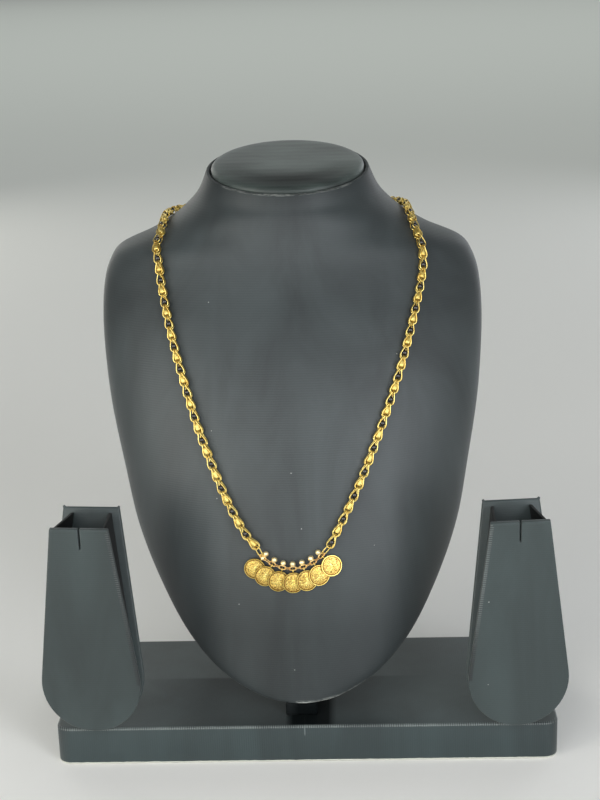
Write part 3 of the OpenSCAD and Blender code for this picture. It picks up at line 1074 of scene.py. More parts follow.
def curve(rows: np.ndarray, steps: int) -> np.ndarray:
    """Cuts the smooth curve through a table into even steps.

    Args:
        rows: the table.
        steps: steps from one row to the next.

    Returns:
        The curve's rows.
    """
    inner = [curve_at(rows, i + k / steps) for i in range(len(rows) - 1) for k in range(steps)]
    return np.array(inner + [rows[-1]])


def unit(v: Point) -> Point:
    """Returns a vector's direction with a length of one."""
    return v / np.linalg.norm(v)


@dataclass(frozen=True)
class Axes:
    """A place with three axes, local Z up the piece and local -Y facing out."""

    origin: Point
    x: Point
    y: Point
    z: Point

    @staticmethod
    def along(origin: Point, up: Point, out: Point) -> "Axes":
        """Makes axes from an upward and an outward direction.

        Args:
            origin: the place in millimetres.
            up: the direction of local Z.
            out: the rough direction of local -Y.

        Returns:
            The axes.
        """
        z = unit(up)
        y = -unit(out - (out @ z) * z)
        return Axes(origin, np.cross(y, z), y, z)

    def world(self, p: Triple) -> Point:
        """Returns a local point's place in millimetres."""
        return self.origin + p[0] * self.x + p[1] * self.y + p[2] * self.z

    def matrix(self, z_scale: float = 1.0, turn: float = 0.0) -> Matrix:
        """Makes the matrix that puts a model, in metres, in its place in the CAD's frame.

        Args:
            z_scale: stretch of the model along its length.
            turn: degrees that the model is turned about its length first.

        Returns:
            The matrix.
        """
        o = (self.origin - np.array([0, ORIGIN_Y, 0])) * MM
        place = Matrix([[self.x[k], self.y[k], self.z[k], o[k]] for k in range(3)]
                       + [[0, 0, 0, 1]])
        return (place @ Matrix.Rotation(math.radians(turn), 4, "Z")
                @ Matrix.Diagonal((1, 1, z_scale, 1)))


@dataclass
class BustSurface:
    """The lofted surface of the bust, in millimetres from the base's front edge."""

    middle_x: float = -2.5
    side_lean: float = -0.75
    tilt_from_z: float = 284.0
    neck_tilt: float = 13.0
    rows: np.ndarray = field(default_factory=lambda: curve(SECTION_ROWS, steps=12))

    def row(self, z: float) -> np.ndarray:
        """Returns the section row at a height."""
        return np.array([z] + [np.interp(z, self.rows[:, 0], self.rows[:, k])
                               for k in range(1, 5)])

    def centre_x(self, z: float | np.ndarray) -> float | np.ndarray:
        """Returns the middle line's x at a height."""
        return self.middle_x + (z - SECTION_ROWS[0, 0]) * math.tan(math.radians(self.side_lean))

    def rim_height(self, y: float | np.ndarray) -> float | np.ndarray:
        """Returns the height of the tilted rim at a depth."""
        rim = SECTION_ROWS[-1]
        return rim[0] + (y - rim[2] - rim[3]) * math.tan(math.radians(self.neck_tilt))

    def section_point(self, row: np.ndarray, angle: float) -> Point:
        """Gives a point of one section.

        Args:
            row: the section's row.
            angle: degrees from the front middle, positive to the right.

        Returns:
            The point.
        """
        z, half_w, front_y, front_d, back_d = row
        a = math.radians(angle)
        depth = front_d if math.cos(a) > 0 else back_d
        return np.array([self.centre_x(z) + half_w * math.sin(a),
                         front_y + front_d - depth * math.cos(a), z])

    def skin(self, angle: float, z: float) -> Point:
        """Returns the surface point at an angle and a height."""
        return self.section_point(self.row(z), angle)

    def normal(self, angle: float, z: float) -> Point:
        """Returns the outward direction at an angle and a height."""
        return unit(np.cross(self.skin(angle + 0.5, z) - self.skin(angle - 0.5, z),
                             self.skin(angle, z + 0.5) - self.skin(angle, z - 0.5)))

    def tilted(self, p: Point) -> Point:
        """Moves a point by the backward tilt of the neck's upper sections.

        Args:
            p: the point in millimetres.

        Returns:
            The moved point.
        """
        neck = SECTION_ROWS[-1]
        t = max(0.0, (p[2] - self.tilt_from_z) / (neck[0] - self.tilt_from_z))
        share = t * t * (3 - 2 * t) if t < 1 else 1.0
        lean = math.tan(math.radians(self.neck_tilt)) * share
        return np.array([p[0], p[1], p[2] + (p[1] - neck[2] - neck[3]) * lean])

    def ring(self, row: np.ndarray, around: int) -> np.ndarray:
        """Gives one section of the bust as a ring.

        Args:
            row: the section's row.
            around: number of points.

        Returns:
            The ring in metres, in the CAD's frame.
        """
        points = [self.tilted(self.section_point(row, 360 * k / around))
                  for k in range(around)]
        return (np.array(points) - [0, ORIGIN_Y, 0]) * MM

    def neck_ring(self, shrink: float, rise: float, around: int) -> np.ndarray:
        """Gives a ring inside or above the neck's rim.

        Args:
            shrink: how far the ring lies inside the rim, in millimetres.
            rise: how far it lies above the rim.
            around: number of points.

        Returns:
            The ring in metres, in the CAD's frame.
        """
        row = SECTION_ROWS[-1] + np.array([0, -shrink, shrink, -shrink, -shrink])
        return self.ring(row, around) + [0, 0, rise * MM]


BUST = BustSurface()


@dataclass
class ChainRoute:
    """The middle line of one side's chain over the bust, cut into links."""

    table: np.ndarray
    lift: float = 2.75
    pitch_hanging: float = 7.2
    pitch_lying: float = 6.6
    clasp_reach: float = 8.77
    points: np.ndarray = field(init=False)
    normals: np.ndarray = field(init=False)
    lengths: np.ndarray = field(init=False)

    def __post_init__(self) -> None:
        """Works out the line, its outward directions and its running length."""
        rows = curve(self.table, steps=8)
        self.normals = np.array([BUST.normal(a, z) for a, z in rows])
        self.points = np.array([BUST.skin(a, z) for a, z in rows]) + self.lift * self.normals
        steps = np.linalg.norm(np.diff(self.points, axis=0), axis=1)
        self.lengths = np.concatenate([[0], np.cumsum(steps)])

    @property
    def count(self) -> int:
        """Returns the number of links."""
        mean = (self.pitch_hanging + self.pitch_lying) / 2
        return round((self.lengths[-1] - self.clasp_reach) / mean)

    def stop(self, i: int) -> float:
        """Works out where a link begins, since links that hang are drawn longer.

        Args:
            i: the link's number, from the row of coins up.

        Returns:
            The running length in millimetres.
        """
        slack = self.pitch_hanging - self.pitch_lying
        even = self.pitch_hanging * i - slack * i * i / (2 * self.count)
        mean = (self.pitch_hanging + self.pitch_lying) / 2
        return even * (self.lengths[-1] - self.clasp_reach) / (mean * self.count)

    def at(self, s: float) -> Point:
        """Returns the line's point at a running length."""
        return np.array([np.interp(s, self.lengths, self.points[:, k]) for k in range(3)])

    def normal_at(self, s: float) -> Point:
        """Returns the outward direction at a running length."""
        return unit(np.array([np.interp(s, self.lengths, self.normals[:, k])
                              for k in range(3)]))

    def link_axes(self, i: int) -> Axes:
        """Returns the axes of link i, whose origin is at its folded upper end."""
        low, high = self.at(self.stop(i)), self.at(self.stop(i + 1))
        return Axes.along(high, high - low, self.normal_at(self.stop(i + 1)))

    def reach(self, i: int) -> float:
        """Returns the straight distance that link i spans."""
        return float(np.linalg.norm(self.at(self.stop(i + 1)) - self.at(self.stop(i))))


# Sub-assemblies


@dataclass
class StandBase:
    """The flat covered board and the block that carries the bust."""

    edge_mm: float = 1.25
    block_edge_mm: float = 1.2
    top_mm: float = 22.4

    def build(self, cover: Material, fold: Material, shaded: Material) -> None:
        """Models the board and the block.

        Args:
            cover: ribbed leatherette with the lining paper under its edge.
            fold: leatherette of the board's upper edges, with the painted highlight of pale
                ticks.
            shaded: leatherette of the block, painted dark as painted shade.
        """
        board = node_copy("base", "base_covered_board")
        soften(board, self.edge_mm, segments=4, angle=50)
        keep_second(board, lambda p: p.z > self.top_mm - self.edge_mm)
        smooth(board, angle=30)
        dress(board, cover, Slot.LEATHER, "base", second=fold)
        block = node_copy("support_block", "support_block_covered")
        soften(block, self.block_edge_mm, segments=3, angle=50)
        smooth(block, angle=30)
        dress(block, shaded, Slot.LEATHER, "support_block")


@dataclass
class BustShell:
    """The bust with its rolled neck rim, and the pad that closes the neck."""

    around: int = 144
    rim_w: float = 2.2
    recess_d: float = 3.0
    pad_gap: float = 1.1
    # Painted shade of the pad's side from its lowest ring up, and how it leaves the pad's front
    side_shade: tuple[float, ...] = (0.4, 0.4, 0.4, 0.4, 0.4, 0.4, 0.4, 0.42, 0.52, 0.7,
                                     0.84, 0.78, 0.3, 0.08)
    side_power: float = 0.6
    # The rubbed stretch of the rim, by its height over the rim's line and its depth
    rub_x: float = 7.0
    rub_half_w: float = 12.0
    rub_z: float = 0.55
    rub_half_h: float = 0.3
    rub_depth: float = 16.0
    rub_least: float = 0.35
    # The painted highlight of the lowest edge, which fades out to the right
    edge_x: tuple[float, ...] = (0.0, 8.0, 23.0, 45.0)
    edge_z: tuple[float, ...] = (30.7, 30.7, 33.5, 44.0)
    edge_from: float = -3.0
    edge_h: float = 1.5
    edge_full_to: float = 20.0
    edge_fade: float = 18.0
    # Painted shade on the covering: under the rim, out on the shoulders and at the foot
    neck_shade: float = 0.45
    neck_fade: float = 15.0
    outer_shade: float = 0.25
    outer_from: tuple[float, float] = (55.0, 190.0)
    outer_fade: tuple[float, float] = (45.0, 60.0)
    foot_shade: float = 0.34
    foot_from: float = 115.0
    foot_fade: float = 45.0

    def shell_rings(self) -> np.ndarray:
        """Stacks the bust's sections from its lower tip up, and over the rolled rim.

        Returns:
            The rings in metres.
        """
        rings = [BUST.ring(row, self.around) for row in curve(SECTION_ROWS, steps=7)]
        # Inward and upward from the rim's outer edge
        lip = [(0.12, 0.34), (0.45, 0.62), (0.9, 0.74), (1.5, 0.74), (1.95, 0.55),
               (2.2, 0.1), (2.2, -1.2), (2.2, -self.recess_d)]
        rings += [BUST.neck_ring(a, b, self.around) for a, b in lip]
        return np.array(rings)

    def pad_rings(self) -> np.ndarray:
        """Stacks the pad's sections, pulled in at its edge and crowned on top.

        Returns:
            The rings in metres.
        """
        inset = self.rim_w + self.pad_gap
        # Inward and upward from the pad's side
        profile = [(1.2, -2.7), (0.35, -2.3), (0.0, -1.2), (-0.25, 0.3), (-0.3, 1.2),
                   (0.0, 2.1), (0.7, 2.9), (1.7, 3.5), (3.0, 3.9), (5.0, 4.15),
                   (8.5, 4.3), (14.0, 4.38), (22.0, 4.42), (30.0, 4.45), (36.0, 4.47)]
        rings = [BUST.neck_ring(inset + a, b, self.around) for a, b in profile]
        return np.array(rings)

    def shade_side(self, pad: Piece) -> None:
        """Marks the pad's side with painted shade, deepest towards the front.

        Args:
            pad: the pad's finished mesh, whose vertices run ring by ring.
        """
        places = point_places(pad)[:, :2]
        away = places - places.mean(0)
        to_front = np.maximum(0, -away[:, 1] / np.maximum(1e-6, np.hypot(*away.T)))
        values = np.zeros(len(places))
        for k, share in enumerate(self.side_shade):
            values[k * self.around:(k + 1) * self.around] = share
        mark_points(pad, PAINTED_SHADE_AND_PATINA, values * to_front ** self.side_power)

    def rub(self, shell: Piece) -> None:
        """Marks the rim's front, where the covering is rubbed pale, and a painted highlight on
        the lowest edge.

        Args:
            shell: the bust's finished mesh.
        """
        x, y, z = (point_places(shell) / MM + [0, ORIGIN_Y, 0]).T
        across = x - BUST.centre_x(z)
        near = 1 - np.minimum(1, np.abs(across + self.rub_x) / self.rub_half_w)
        on_rim = np.abs(z - BUST.rim_height(y) - self.rub_z) < self.rub_half_h
        on_rim &= y < SECTION_ROWS[-1][2] + self.rub_depth
        values = np.where(on_rim, self.rub_least + (1 - self.rub_least) * near, 0)
        # A painted highlight along the lowest edge
        edge = np.interp(np.abs(across), self.edge_x, self.edge_z)
        fade = 1 - np.clip((across - self.edge_full_to) / self.edge_fade, 0, 1)
        low = (z < self.edge_z[-1]) & (across > self.edge_from)
        edge_highlight = np.where(low, fade * np.maximum(0, 1 - (z - edge) / self.edge_h), 0)
        mark_points(shell, SCUFF_AND_HIGHLIGHT, np.maximum(values, edge_highlight))

    def shade_neck(self, shell: Piece) -> None:
        """Marks painted shade under the rim, out on the shoulders and at the foot.

        Args:
            shell: the bust's finished mesh.
        """
        x, y, z = (point_places(shell) / MM + [0, ORIGIN_Y, 0]).T
        below = np.maximum(0, BUST.rim_height(y) - z)
        neck = np.exp(-below / self.neck_fade)
        across = np.abs(x - BUST.centre_x(z))
        outer = np.clip((across - self.outer_from[0]) / self.outer_fade[0], 0, 1)
        outer *= np.clip((z - self.outer_from[1]) / self.outer_fade[1], 0, 1)
        foot = np.clip((self.foot_from - z) / self.foot_fade, 0, 1)
        mark_points(shell, PAINTED_SHADE_AND_PATINA, np.maximum.reduce([
            self.neck_shade * neck, self.outer_shade * outer, self.foot_shade * foot]))

    def build(self, shell_cover: Material, pad_cover: Material) -> None:
        """Models the shell and the pad.

        Args:
            shell_cover: leatherette with the rim's wear, a painted highlight on the lowest edge
                and painted shade.
            pad_cover: leatherette of the pad, painted paler for its reflections, with painted
                shade on its side.
        """
        shell = wrapped_grid("bust_covered_shell", self.shell_rings())
        self.rub(shell)
        self.shade_neck(shell)
        smooth(shell, angle=60)
        dress(shell, shell_cover, Slot.LEATHER, "bust")
        pad = wrapped_grid("neck_pad_stuffed", self.pad_rings())
        self.shade_side(pad)
        smooth(pad, angle=60)
        dress(pad, pad_cover, Slot.LEATHER, "neck_pad")


@dataclass
class EarringHolder:
    """Two covered boards that lean apart, with a folded gusset between them."""

    side: Side
    middle_x: float = 116.8
    board_edge_mm: float = 1.1
    gusset_edge_mm: float = 0.3
    # Where the inner edges carry the painted highlight of the ribs, as pale level ticks
    tick_from_mm: float = 52.0
    tick_to_mm: float = 147.3
    tick_mm: float = 1.4
    tick_in_mm: float = 4.0
    facing: float = 0.9
    # The corner folds: where they are looked for, and their cone
    ear_over_mm: float = 143.0
    ear_slant: float = 0.3
    ear_foot_r: float = 1.9
    ear_tip_r: float = 0.55
    ear_h: float = 4.0
    ear_flat: float = 0.8
    ear_turn: float = 24.0
    ear_in_mm: float = 1.2
    ear_low_mm: float = 0.1

    def ticked(self, p: Vector) -> bool:
        """Tells whether a place on a rounded edge gets the painted highlight of the ribs."""
        inner = self.side.value * p.x < self.middle_x - self.tick_in_mm
        return inner and self.tick_from_mm < p.z < self.tick_to_mm

    def inset_front(self, board: Piece) -> None:
        """Cuts a narrow border in the board's front, with a painted highlight on its inner side.

        Args:
            board: the front board, with its edges rounded.
        """
        front = max(board.data.polygons, key=lambda f: -f.normal.y * f.area)
        chosen = front.index
        with editing(board):
            bpy.ops.mesh.select_mode(type="FACE")
            bpy.ops.mesh.select_all(action="DESELECT")
        board.data.polygons[chosen].select = True
        with editing(board):
            bpy.ops.mesh.inset(thickness=self.tick_mm * MM)
            bpy.ops.mesh.select_all(action="INVERT")
        for face in board.data.polygons:
            border = face.select and face.normal.y < -self.facing
            if border and self.ticked(face.center / MM):
                face.material_index = 1

    def ears(self, board: Piece) -> Piece:
        """Adds the small pointed corner folds of the back board's covering.

        Args:
            board: the back board, with its edges rounded.

        Returns:
            The board with its folds.
        """
        top = [v.co / MM for v in board.data.vertices if v.co.z > self.ear_over_mm * MM]
        pieces = [board]
        for inward in (1.0, -1.0):
            corner = max(top, key=lambda p: self.ear_slant * p.z - inward * p.x)
            deselect()
            bpy.ops.mesh.primitive_cone_add(vertices=10, radius1=self.ear_foot_r * MM,
                                            radius2=self.ear_tip_r * MM, depth=self.ear_h * MM)
            place = (corner.x + self.ear_in_mm * inward, corner.y, corner.z - self.ear_low_mm)
            pieces.append(set_at(latest("corner_fold"), place,
                                 turn=(0.0, -self.ear_turn * inward, 0.0),
                                 scale=(1.0, self.ear_flat, 1.0)))
        return joined(pieces, board.name)

    def build(self, cover: Material, fold: Material, inside: Material) -> None:
        """Models the boards and the gusset.

        Args:
            cover: leatherette of the boards.
            fold: leatherette of the boards' inner edges, with the painted highlight of pale
                ticks.
            inside: leatherette of the gusset, painted nearly black as painted shade.
        """
        for part in ("front", "back"):
            node = f"holder_{self.side.word}_{part}"
            board = node_copy(node, node + "_board")
            soften(board, self.board_edge_mm, segments=3, angle=50)
            keep_second(board, self.ticked)
            if part == "front":
                self.inset_front(board)
            else:
                board = self.ears(board)
            smooth(board, angle=30)
            dress(board, cover, Slot.LEATHER, node, second=fold)
        node = f"holder_{self.side.word}_gusset"
        fold_piece = node_copy(node, node + "_fold")
        soften(fold_piece, self.gusset_edge_mm, segments=2, angle=50)
        smooth(fold_piece, angle=30)
        dress(fold_piece, inside, Slot.LEATHER, node)


@dataclass
class ChainSide:
    """One side's chain of folded wire links, with black beads and gold barrels."""

    side: Side
    route: ChainRoute
    first_bead: int
    wire_mm: float = 0.7
    fold_half_w: float = 0.42
    fold_half_d: float = 2.0
    fold_y: float = 1.0
    fold_z: float = 0.16
    half_w: float = 2.06
    # The rear lobe is a little narrower than the front one
    back_share: float = 0.86
    back_add: float = 0.1
    arch_y: float = 0.8
    arch_z: float = -8.13
    arch_drop: float = 0.08
    bead_d: float = 3.2
    bead_flat: float = 0.96
    bead_y: float = -0.4
    bead_z: float = -4.6
    barrel_l: float = 4.1
    barrel_top_z: float = -1.6
    barrel_rise: float = 0.5
    barrel_steps: int = 48
    flutes: int = 12
    flute_depth: float = 0.07
    flute_from_w: float = 0.9

    def link_path(self) -> PointList:
        """Draws the folded loop: down one lobe, up, over the fold, and back.

        Returns:
            The path's points in millimetres.
        """
        w, d = self.fold_half_w, self.fold_half_d
        fold, arch = self.fold_z, self.arch_z - self.arch_drop
        # One half of a lobe, from its fold down to its arch
        lobe = [(w, d, -0.1), (1.0, 1.86, -2.2), (1.72, 1.6, -4.2), (self.half_w, 1.34, -5.9),
                (1.84, 1.05, -7.1), (1.04, 0.86, -7.95)]
        front = [(x, -y, z) for x, y, z in lobe]
        path = [(-x, y, z) for x, y, z in front] + [(0.0, -self.arch_y, arch)]
        path += front[::-1]
        path += [(w, -self.fold_y, fold), (w, self.fold_y, fold)]
        back = [(min(x, self.back_share * x + self.back_add), -y, z) for x, y, z in front]
        path += back + [(0.0, self.arch_y, arch)]
        path += [(-x, y, z) for x, y, z in back[::-1]]
        path += [(-w, self.fold_y, fold), (-w, -self.fold_y, fold)]
        return path

    def link_scale(self, i: int) -> float:
        """Returns the stretch of link i along its length."""
        return (self.route.reach(i) - self.route.pitch_hanging) / -self.arch_z + 1

    def strung(self, model: Piece, places: dict[int, Matrix], node: str, kind: str,
               finish: Material, slot: Slot) -> None:
        """Repeats a model along the chain and joins the copies to one piece.

        Args:
            model: the piece that was modelled once, which is taken away at the end.
            places: the copies' places by their links' numbers.
            node: the CAD node, without its side.
            kind: what the piece's name says of its make.
            finish: its material.
            slot: the record's slot that it belongs to.
        """
        node = f"{node}_{self.side.word}"
        copies = [placed_copy(model, place, f"{model.name}_{i}") for i, place in places.items()]
        bpy.data.objects.remove(model)
        dress(joined(copies, f"{node}_{kind}"), finish, slot, node)

    def build_links(self, gold: Material) -> None:
        """Bends one link and repeats it along the route.

        Args:
            gold: the links' finish.
        """
        model = wire_loop("link_model", self.link_path(), self.wire_mm, steps=2, sides=2)
        smooth(model, angle=80)
        places = {i: self.route.link_axes(i).matrix(self.link_scale(i))
                  for i in range(self.route.count)}
        self.strung(model, places, "chain", "wire_links", gold, Slot.GOLD)

    def build_beads(self, glass: Material) -> None:
        """Models one glass bead and repeats it in every second link.

        Args:
            glass: the beads' finish.
        """
        model = set_at(ball("bead_model", self.bead_d / 2), (0.0, 0.0, 0.0),
                       scale=(1.0, 1.0, self.bead_flat))
        smooth(model, angle=80)
        middle = Matrix.Translation((0, self.bead_y * MM, self.bead_z * MM))
        places = {i: self.route.link_axes(i).matrix() @ middle
                  for i in range(self.first_bead, self.route.count, 2)}
        self.strung(model, places, "black_beads", "glass", glass, Slot.GLASS)

    def barrel_rings(self) -> np.ndarray:
        """Stacks the fluted barrel's sections, from its full low end to its narrow top.

        Returns:
            The rings in metres.
        """
        profile = [
            # height, half width, half depth
            (-0.25, 0.6, 0.55), (-0.25, 1.3, 1.3), (0.0, 1.66, 1.68), (0.5, 1.9, 1.92),
            (1.4, 1.92, 2.05), (2.4, 1.78, 2.06), (3.3, 1.56, 1.98), (4.0, 1.3, 1.84),
            (4.35, 1.0, 1.5), (4.45, 0.35, 0.7)]
        rings = []
        for z, half_w, half_d in profile:
            depth = self.flute_depth if half_w > self.flute_from_w else 0.0
            ring = []
            for k in range(self.barrel_steps):
                a = 2 * math.pi * k / self.barrel_steps
                flute = 1 - depth * (0.5 - 0.5 * math.cos(self.flutes * a))
                ring.append((half_w * flute * math.cos(a), half_d * flute * math.sin(a), z))
            rings.append(ring)
        return np.array(rings) * MM

    def build_barrels(self, gold: Material) -> None:
        """Models one fluted barrel and repeats it in the other links.

        Args:
            gold: the barrels' finish.
        """
        model = wrapped_grid("barrel_model", self.barrel_rings())
        smooth(model, angle=50)
        places = {}
        for i in range(1 - self.first_bead, self.route.count - 1, 2):
            room = self.barrel_top_z - self.barrel_l - self.route.reach(i) + self.barrel_rise
            low = Matrix.Translation((0, 0, room / 2 * MM))
            places[i] = self.route.link_axes(i).matrix() @ low
        self.strung(model, places, "gold_barrels", "fluted", gold, Slot.GOLD)

    def build(self, gold: Material, barrel_gold: Material, glass: Material) -> None:
        """Builds the links, the beads and the barrels.

        Args:
            gold: finish of the links.
            barrel_gold: finish of the barrels.
            glass: finish of the beads.
        """
        self.build_links(gold)
        self.build_beads(glass)
        self.build_barrels(barrel_gold)


@dataclass
class StruckCoin:
    """One coin with its rim, pearl border, figure in relief and soldered loop."""

    diameter: float = 11.9
    thickness: float = 0.6
    edge: float = 0.12
    relief_h: float = 0.22
    rim_inset: float = 0.34
    rim_half_w: float = 0.26
    rim_share: float = 1.2
    line_inset: float = 0.82
    line_half_w: float = 0.2
    line_h: float = 0.025
    pearls: int = 40
    pearl_d: float = 0.4
    pearls_r: float = 4.75
    figure_scale: float = 1.12
    petals: int = 7
    petal_turn: float = 24.0
    petal_half: tuple[float, float] = (0.36, 0.85)
    petal_share: float = 1.1
    lotus_z: float = -0.9
    lotus_half: tuple[float, float] = (2.4725, 1.75)
    halo_r: float = 1.18
    halo_half_w: float = 0.12
    halo_share: float = 0.9
    halo_z: float = 2.45
    loop_r: float = 1.05
    loop_wire_d: float = 0.6
    loop_rise: float = 1.0
    # Patina at the feet of the relief, by its height over the face, and painted shade on the
    # edge
    patina_from: float = 0.03
    patina_fade: float = 0.13
    rim_clear: float = 0.36
    back_from: float = -0.3
    edge_patina: float = 0.75
    edge_half: float = 0.1

    def blob(self, x: float, z: float, half_x: float, half_z: float, turn: float,
             height: float) -> Piece:
        """Raises one rounded form of the relief.

        Args:
            x: place across the coin in millimetres.
            z: place up the coin.
            half_x: half width.
            half_z: half height.
            turn: degrees that it leans.
            height: how far it stands off the coin's face.

        Returns:
            The form, as half sunk in the face.
        """
        form = ball("relief_form", 1.0, segments=10, rings=6)
        return set_at(form, (x, -self.thickness / 2, z), turn=(0.0, turn, 0.0),
                      scale=(half_x, height, half_z))

    def raised_ring(self, radius: float, half_w: float, height: float, z: float = 0.0,
                    steps: int = 72) -> Piece:
        """Raises a ring on the coin's face.

        Args:
            radius: the ring's middle radius in millimetres.
            half_w: half width of the ring.
            height: its height over the face.
            z: height of its centre on the coin.
            steps: steps round the ring.

        Returns:
            The ring.
        """
        ring = hoop("relief_ring", radius, half_w, steps)
        return set_at(ring, (0.0, -self.thickness / 2, z), turn=(90.0, 0.0, 0.0),
                      scale=(1.0, 1.0, height / half_w))

    def figure(self) -> list[Piece]:
        """Models a traditional seated figure on a lotus, in low relief.

        Returns:
            The figure's forms.
        """
        rows = [
            # x, z, half width, half height, lean, height
            (0.0, 2.35, 0.62, 0.74, 0, 1.6), (0.0, 3.2, 0.42, 0.5, 0, 1.5),
            (0.0, 0.75, 0.82, 1.2, 0, 1.4), (0.0, -0.35, 0.95, 0.55, 0, 1.3),
            (-1.15, -1.05, 1.35, 0.5, -14, 1.3), (1.15, -1.05, 1.35, 0.5, 14, 1.3),
            (0.0, -1.35, 1.1, 0.36, 0, 1.6),
            (-1.15, 1.35, 0.3, 0.85, -52, 1.1), (1.15, 1.35, 0.3, 0.85, 52, 1.1),
            (-1.95, 2.0, 0.26, 0.75, 12, 1.0), (1.95, 2.0, 0.26, 0.75, -12, 1.0),
            (-2.0, 2.9, 0.5, 0.5, 0, 1.1), (2.0, 2.9, 0.5, 0.5, 0, 1.1),
            (-1.25, 0.15, 0.26, 0.8, 28, 1.2), (1.25, 0.15, 0.26, 0.8, -28, 1.2),
            (-3.25, 0.3, 0.42, 0.9, 8, 0.9), (3.25, 0.3, 0.42, 0.9, -8, 0.9),
            (-3.1, -1.3, 0.55, 0.45, 20, 0.9), (3.1, -1.3, 0.55, 0.45, -20, 0.9)]
        k = self.figure_scale
        forms = [self.blob(x * k, z * k, a * k, b * k, lean, self.relief_h * share)
                 for x, z, a, b, lean, share in rows]
        # The lotus below, a fan of petals on an oval
        for petal in range(self.petals):
            turn = (petal - self.petals // 2) * self.petal_turn
            a = math.radians(turn)
            forms.append(self.blob(self.lotus_half[0] * math.sin(a),
                                   self.lotus_z - self.lotus_half[1] * math.cos(a),
                                   *self.petal_half, -turn, self.relief_h * self.petal_share))
        forms.append(self.raised_ring(self.halo_r, self.halo_half_w,
                                      self.relief_h * self.halo_share, self.halo_z,
                                      steps=28))
        return forms

    def model(self) -> Piece:
        """Models the struck coin, with its sunk field in the second material.

        Returns:
            The coin, upright about its middle.
        """
        radius = self.diameter / 2
        deselect()
        bpy.ops.mesh.primitive_cylinder_add(vertices=72, radius=radius * MM,
                                            depth=self.thickness * MM)
        disc = set_at(latest("coin_disc"), (0.0, 0.0, 0.0), turn=(90.0, 0.0, 0.0))
        soften(disc, self.edge, segments=2, angle=50)
        rim_h = self.relief_h * self.rim_share
        forms = [disc, self.raised_ring(radius - self.rim_inset, self.rim_half_w, rim_h),
                 self.raised_ring(radius - self.line_inset, self.line_half_w, self.line_h)]
        for k in range(self.pearls):
            a = 2 * math.pi * k / self.pearls
            deselect()
            bpy.ops.mesh.primitive_ico_sphere_add(subdivisions=1, radius=self.pearl_d / 2 * MM)
            place = (self.pearls_r * math.sin(a), -self.thickness / 2,
                     self.pearls_r * math.cos(a))
            forms.append(set_at(latest("pearl"), place))
        forms += self.figure()
        loop = hoop("coin_loop", self.loop_r, self.loop_wire_d / 2, steps=24, sides=8)
        forms.append(set_at(loop, (0.0, 0.0, radius + self.loop_rise), turn=(0.0, 90.0, 0.0)))
        coin = joined(forms, "coin_model")
        smooth(coin, angle=45)
        two_slots(coin)
        # Only the disc's flat round faces are this large
        for face in coin.data.polygons:
            face.material_index = int(face.area > (radius * MM) ** 2)
        self.darken_feet(coin)
        return coin

    def darken_feet(self, coin: Piece) -> None:
        """Marks the feet of the raised forms, where patina stays in the recesses, and painted
        shade on the edge.

        Args:
            coin: the finished coin.
        """
        x, y, z = (point_places(coin) / MM).T
        height = -y - self.thickness / 2
        radius = np.hypot(x, z)
        feet = np.clip(1 - (height - self.patina_from) / self.patina_fade, 0, 1)
        # Painted shade on the coin's edge, which parts it from the coin under it
        edge = np.where(np.abs(radius - self.diameter / 2) < self.edge_half, self.edge_patina, 0)
        outside = (radius > self.diameter / 2 - self.rim_clear) | (height < self.back_from)
        mark_points(coin, PAINTED_SHADE_AND_PATINA, np.where(outside, edge, feet))


@dataclass
class SlottedLink:
    """One oval connector link with the ball that is soldered on its top."""

    width: float = 3.9
    height: float = 1.8
    # The CAD's wire, and the fuller wire of the render
    wire_d: float = 0.46
    bar_d: float = 0.66
    ball_d: float = 3.2
    ball_sink: float = 0.15
    ball_skin: float = 0.06
    low_ball_at: Triple = (0.2, -0.5, -0.35)
    low_ball_r: float = 1.15
    solder_r: float = 0.42
    solder_half: float = 0.24
    solder_rise: float = 0.2

    def model(self, low_ball: bool = False) -> Piece:
        """Models the link about the middle of its slot, with its balls marked.

        Args:
            low_ball: whether a second, smaller ball is soldered over the slot.

        Returns:
            The link.
        """
        r = self.height / 2
        half = self.width / 2 - r
        path = []
        for end in (1, -1):
            for k in range(7):
                a = math.radians(-90 + 30 * k)
                path.append((end * (half + r * math.cos(a)), 0.0, end * r * math.sin(a)))
        forms = [wire_loop("slotted_link", path, self.bar_d, steps=1, sides=2)]
        top = (0.0, 0.0, r + self.wire_d / 2 + self.ball_d / 2 - self.ball_sink)
        balls = [(top, self.ball_d / 2)]
        if low_ball:
            balls.append((self.low_ball_at, self.low_ball_r))
        forms += [set_at(ball("solder_ball", radius), place) for place, radius in balls]
        foot = hoop("solder_foot", self.solder_r, self.solder_half, steps=16)
        forms.append(set_at(foot, (0.0, 0.0, r + self.solder_rise)))
        link = joined(forms, "connector_model")
        smooth(link, angle=60)
        two_slots(link)
        for face in link.data.polygons:
            gaps = [abs((face.center / MM - Vector(place)).length - radius)
                    for place, radius in balls]
            face.material_index = int(min(gaps) < self.ball_skin)
        return link


UNIT_ROWS = (
    # turn of the connector, turn of the coin, the coin's distance from the fan's centre
    (-42.2, -40.6, 32.0), (-27.0, -28.2, 31.9), (-12.8, -13.9, 31.7), (1.3, 1.1, 31.7),
    (15.4, 15.0, 31.3), (30.0, 28.4, 31.1), (44.2, 43.8, 31.2))


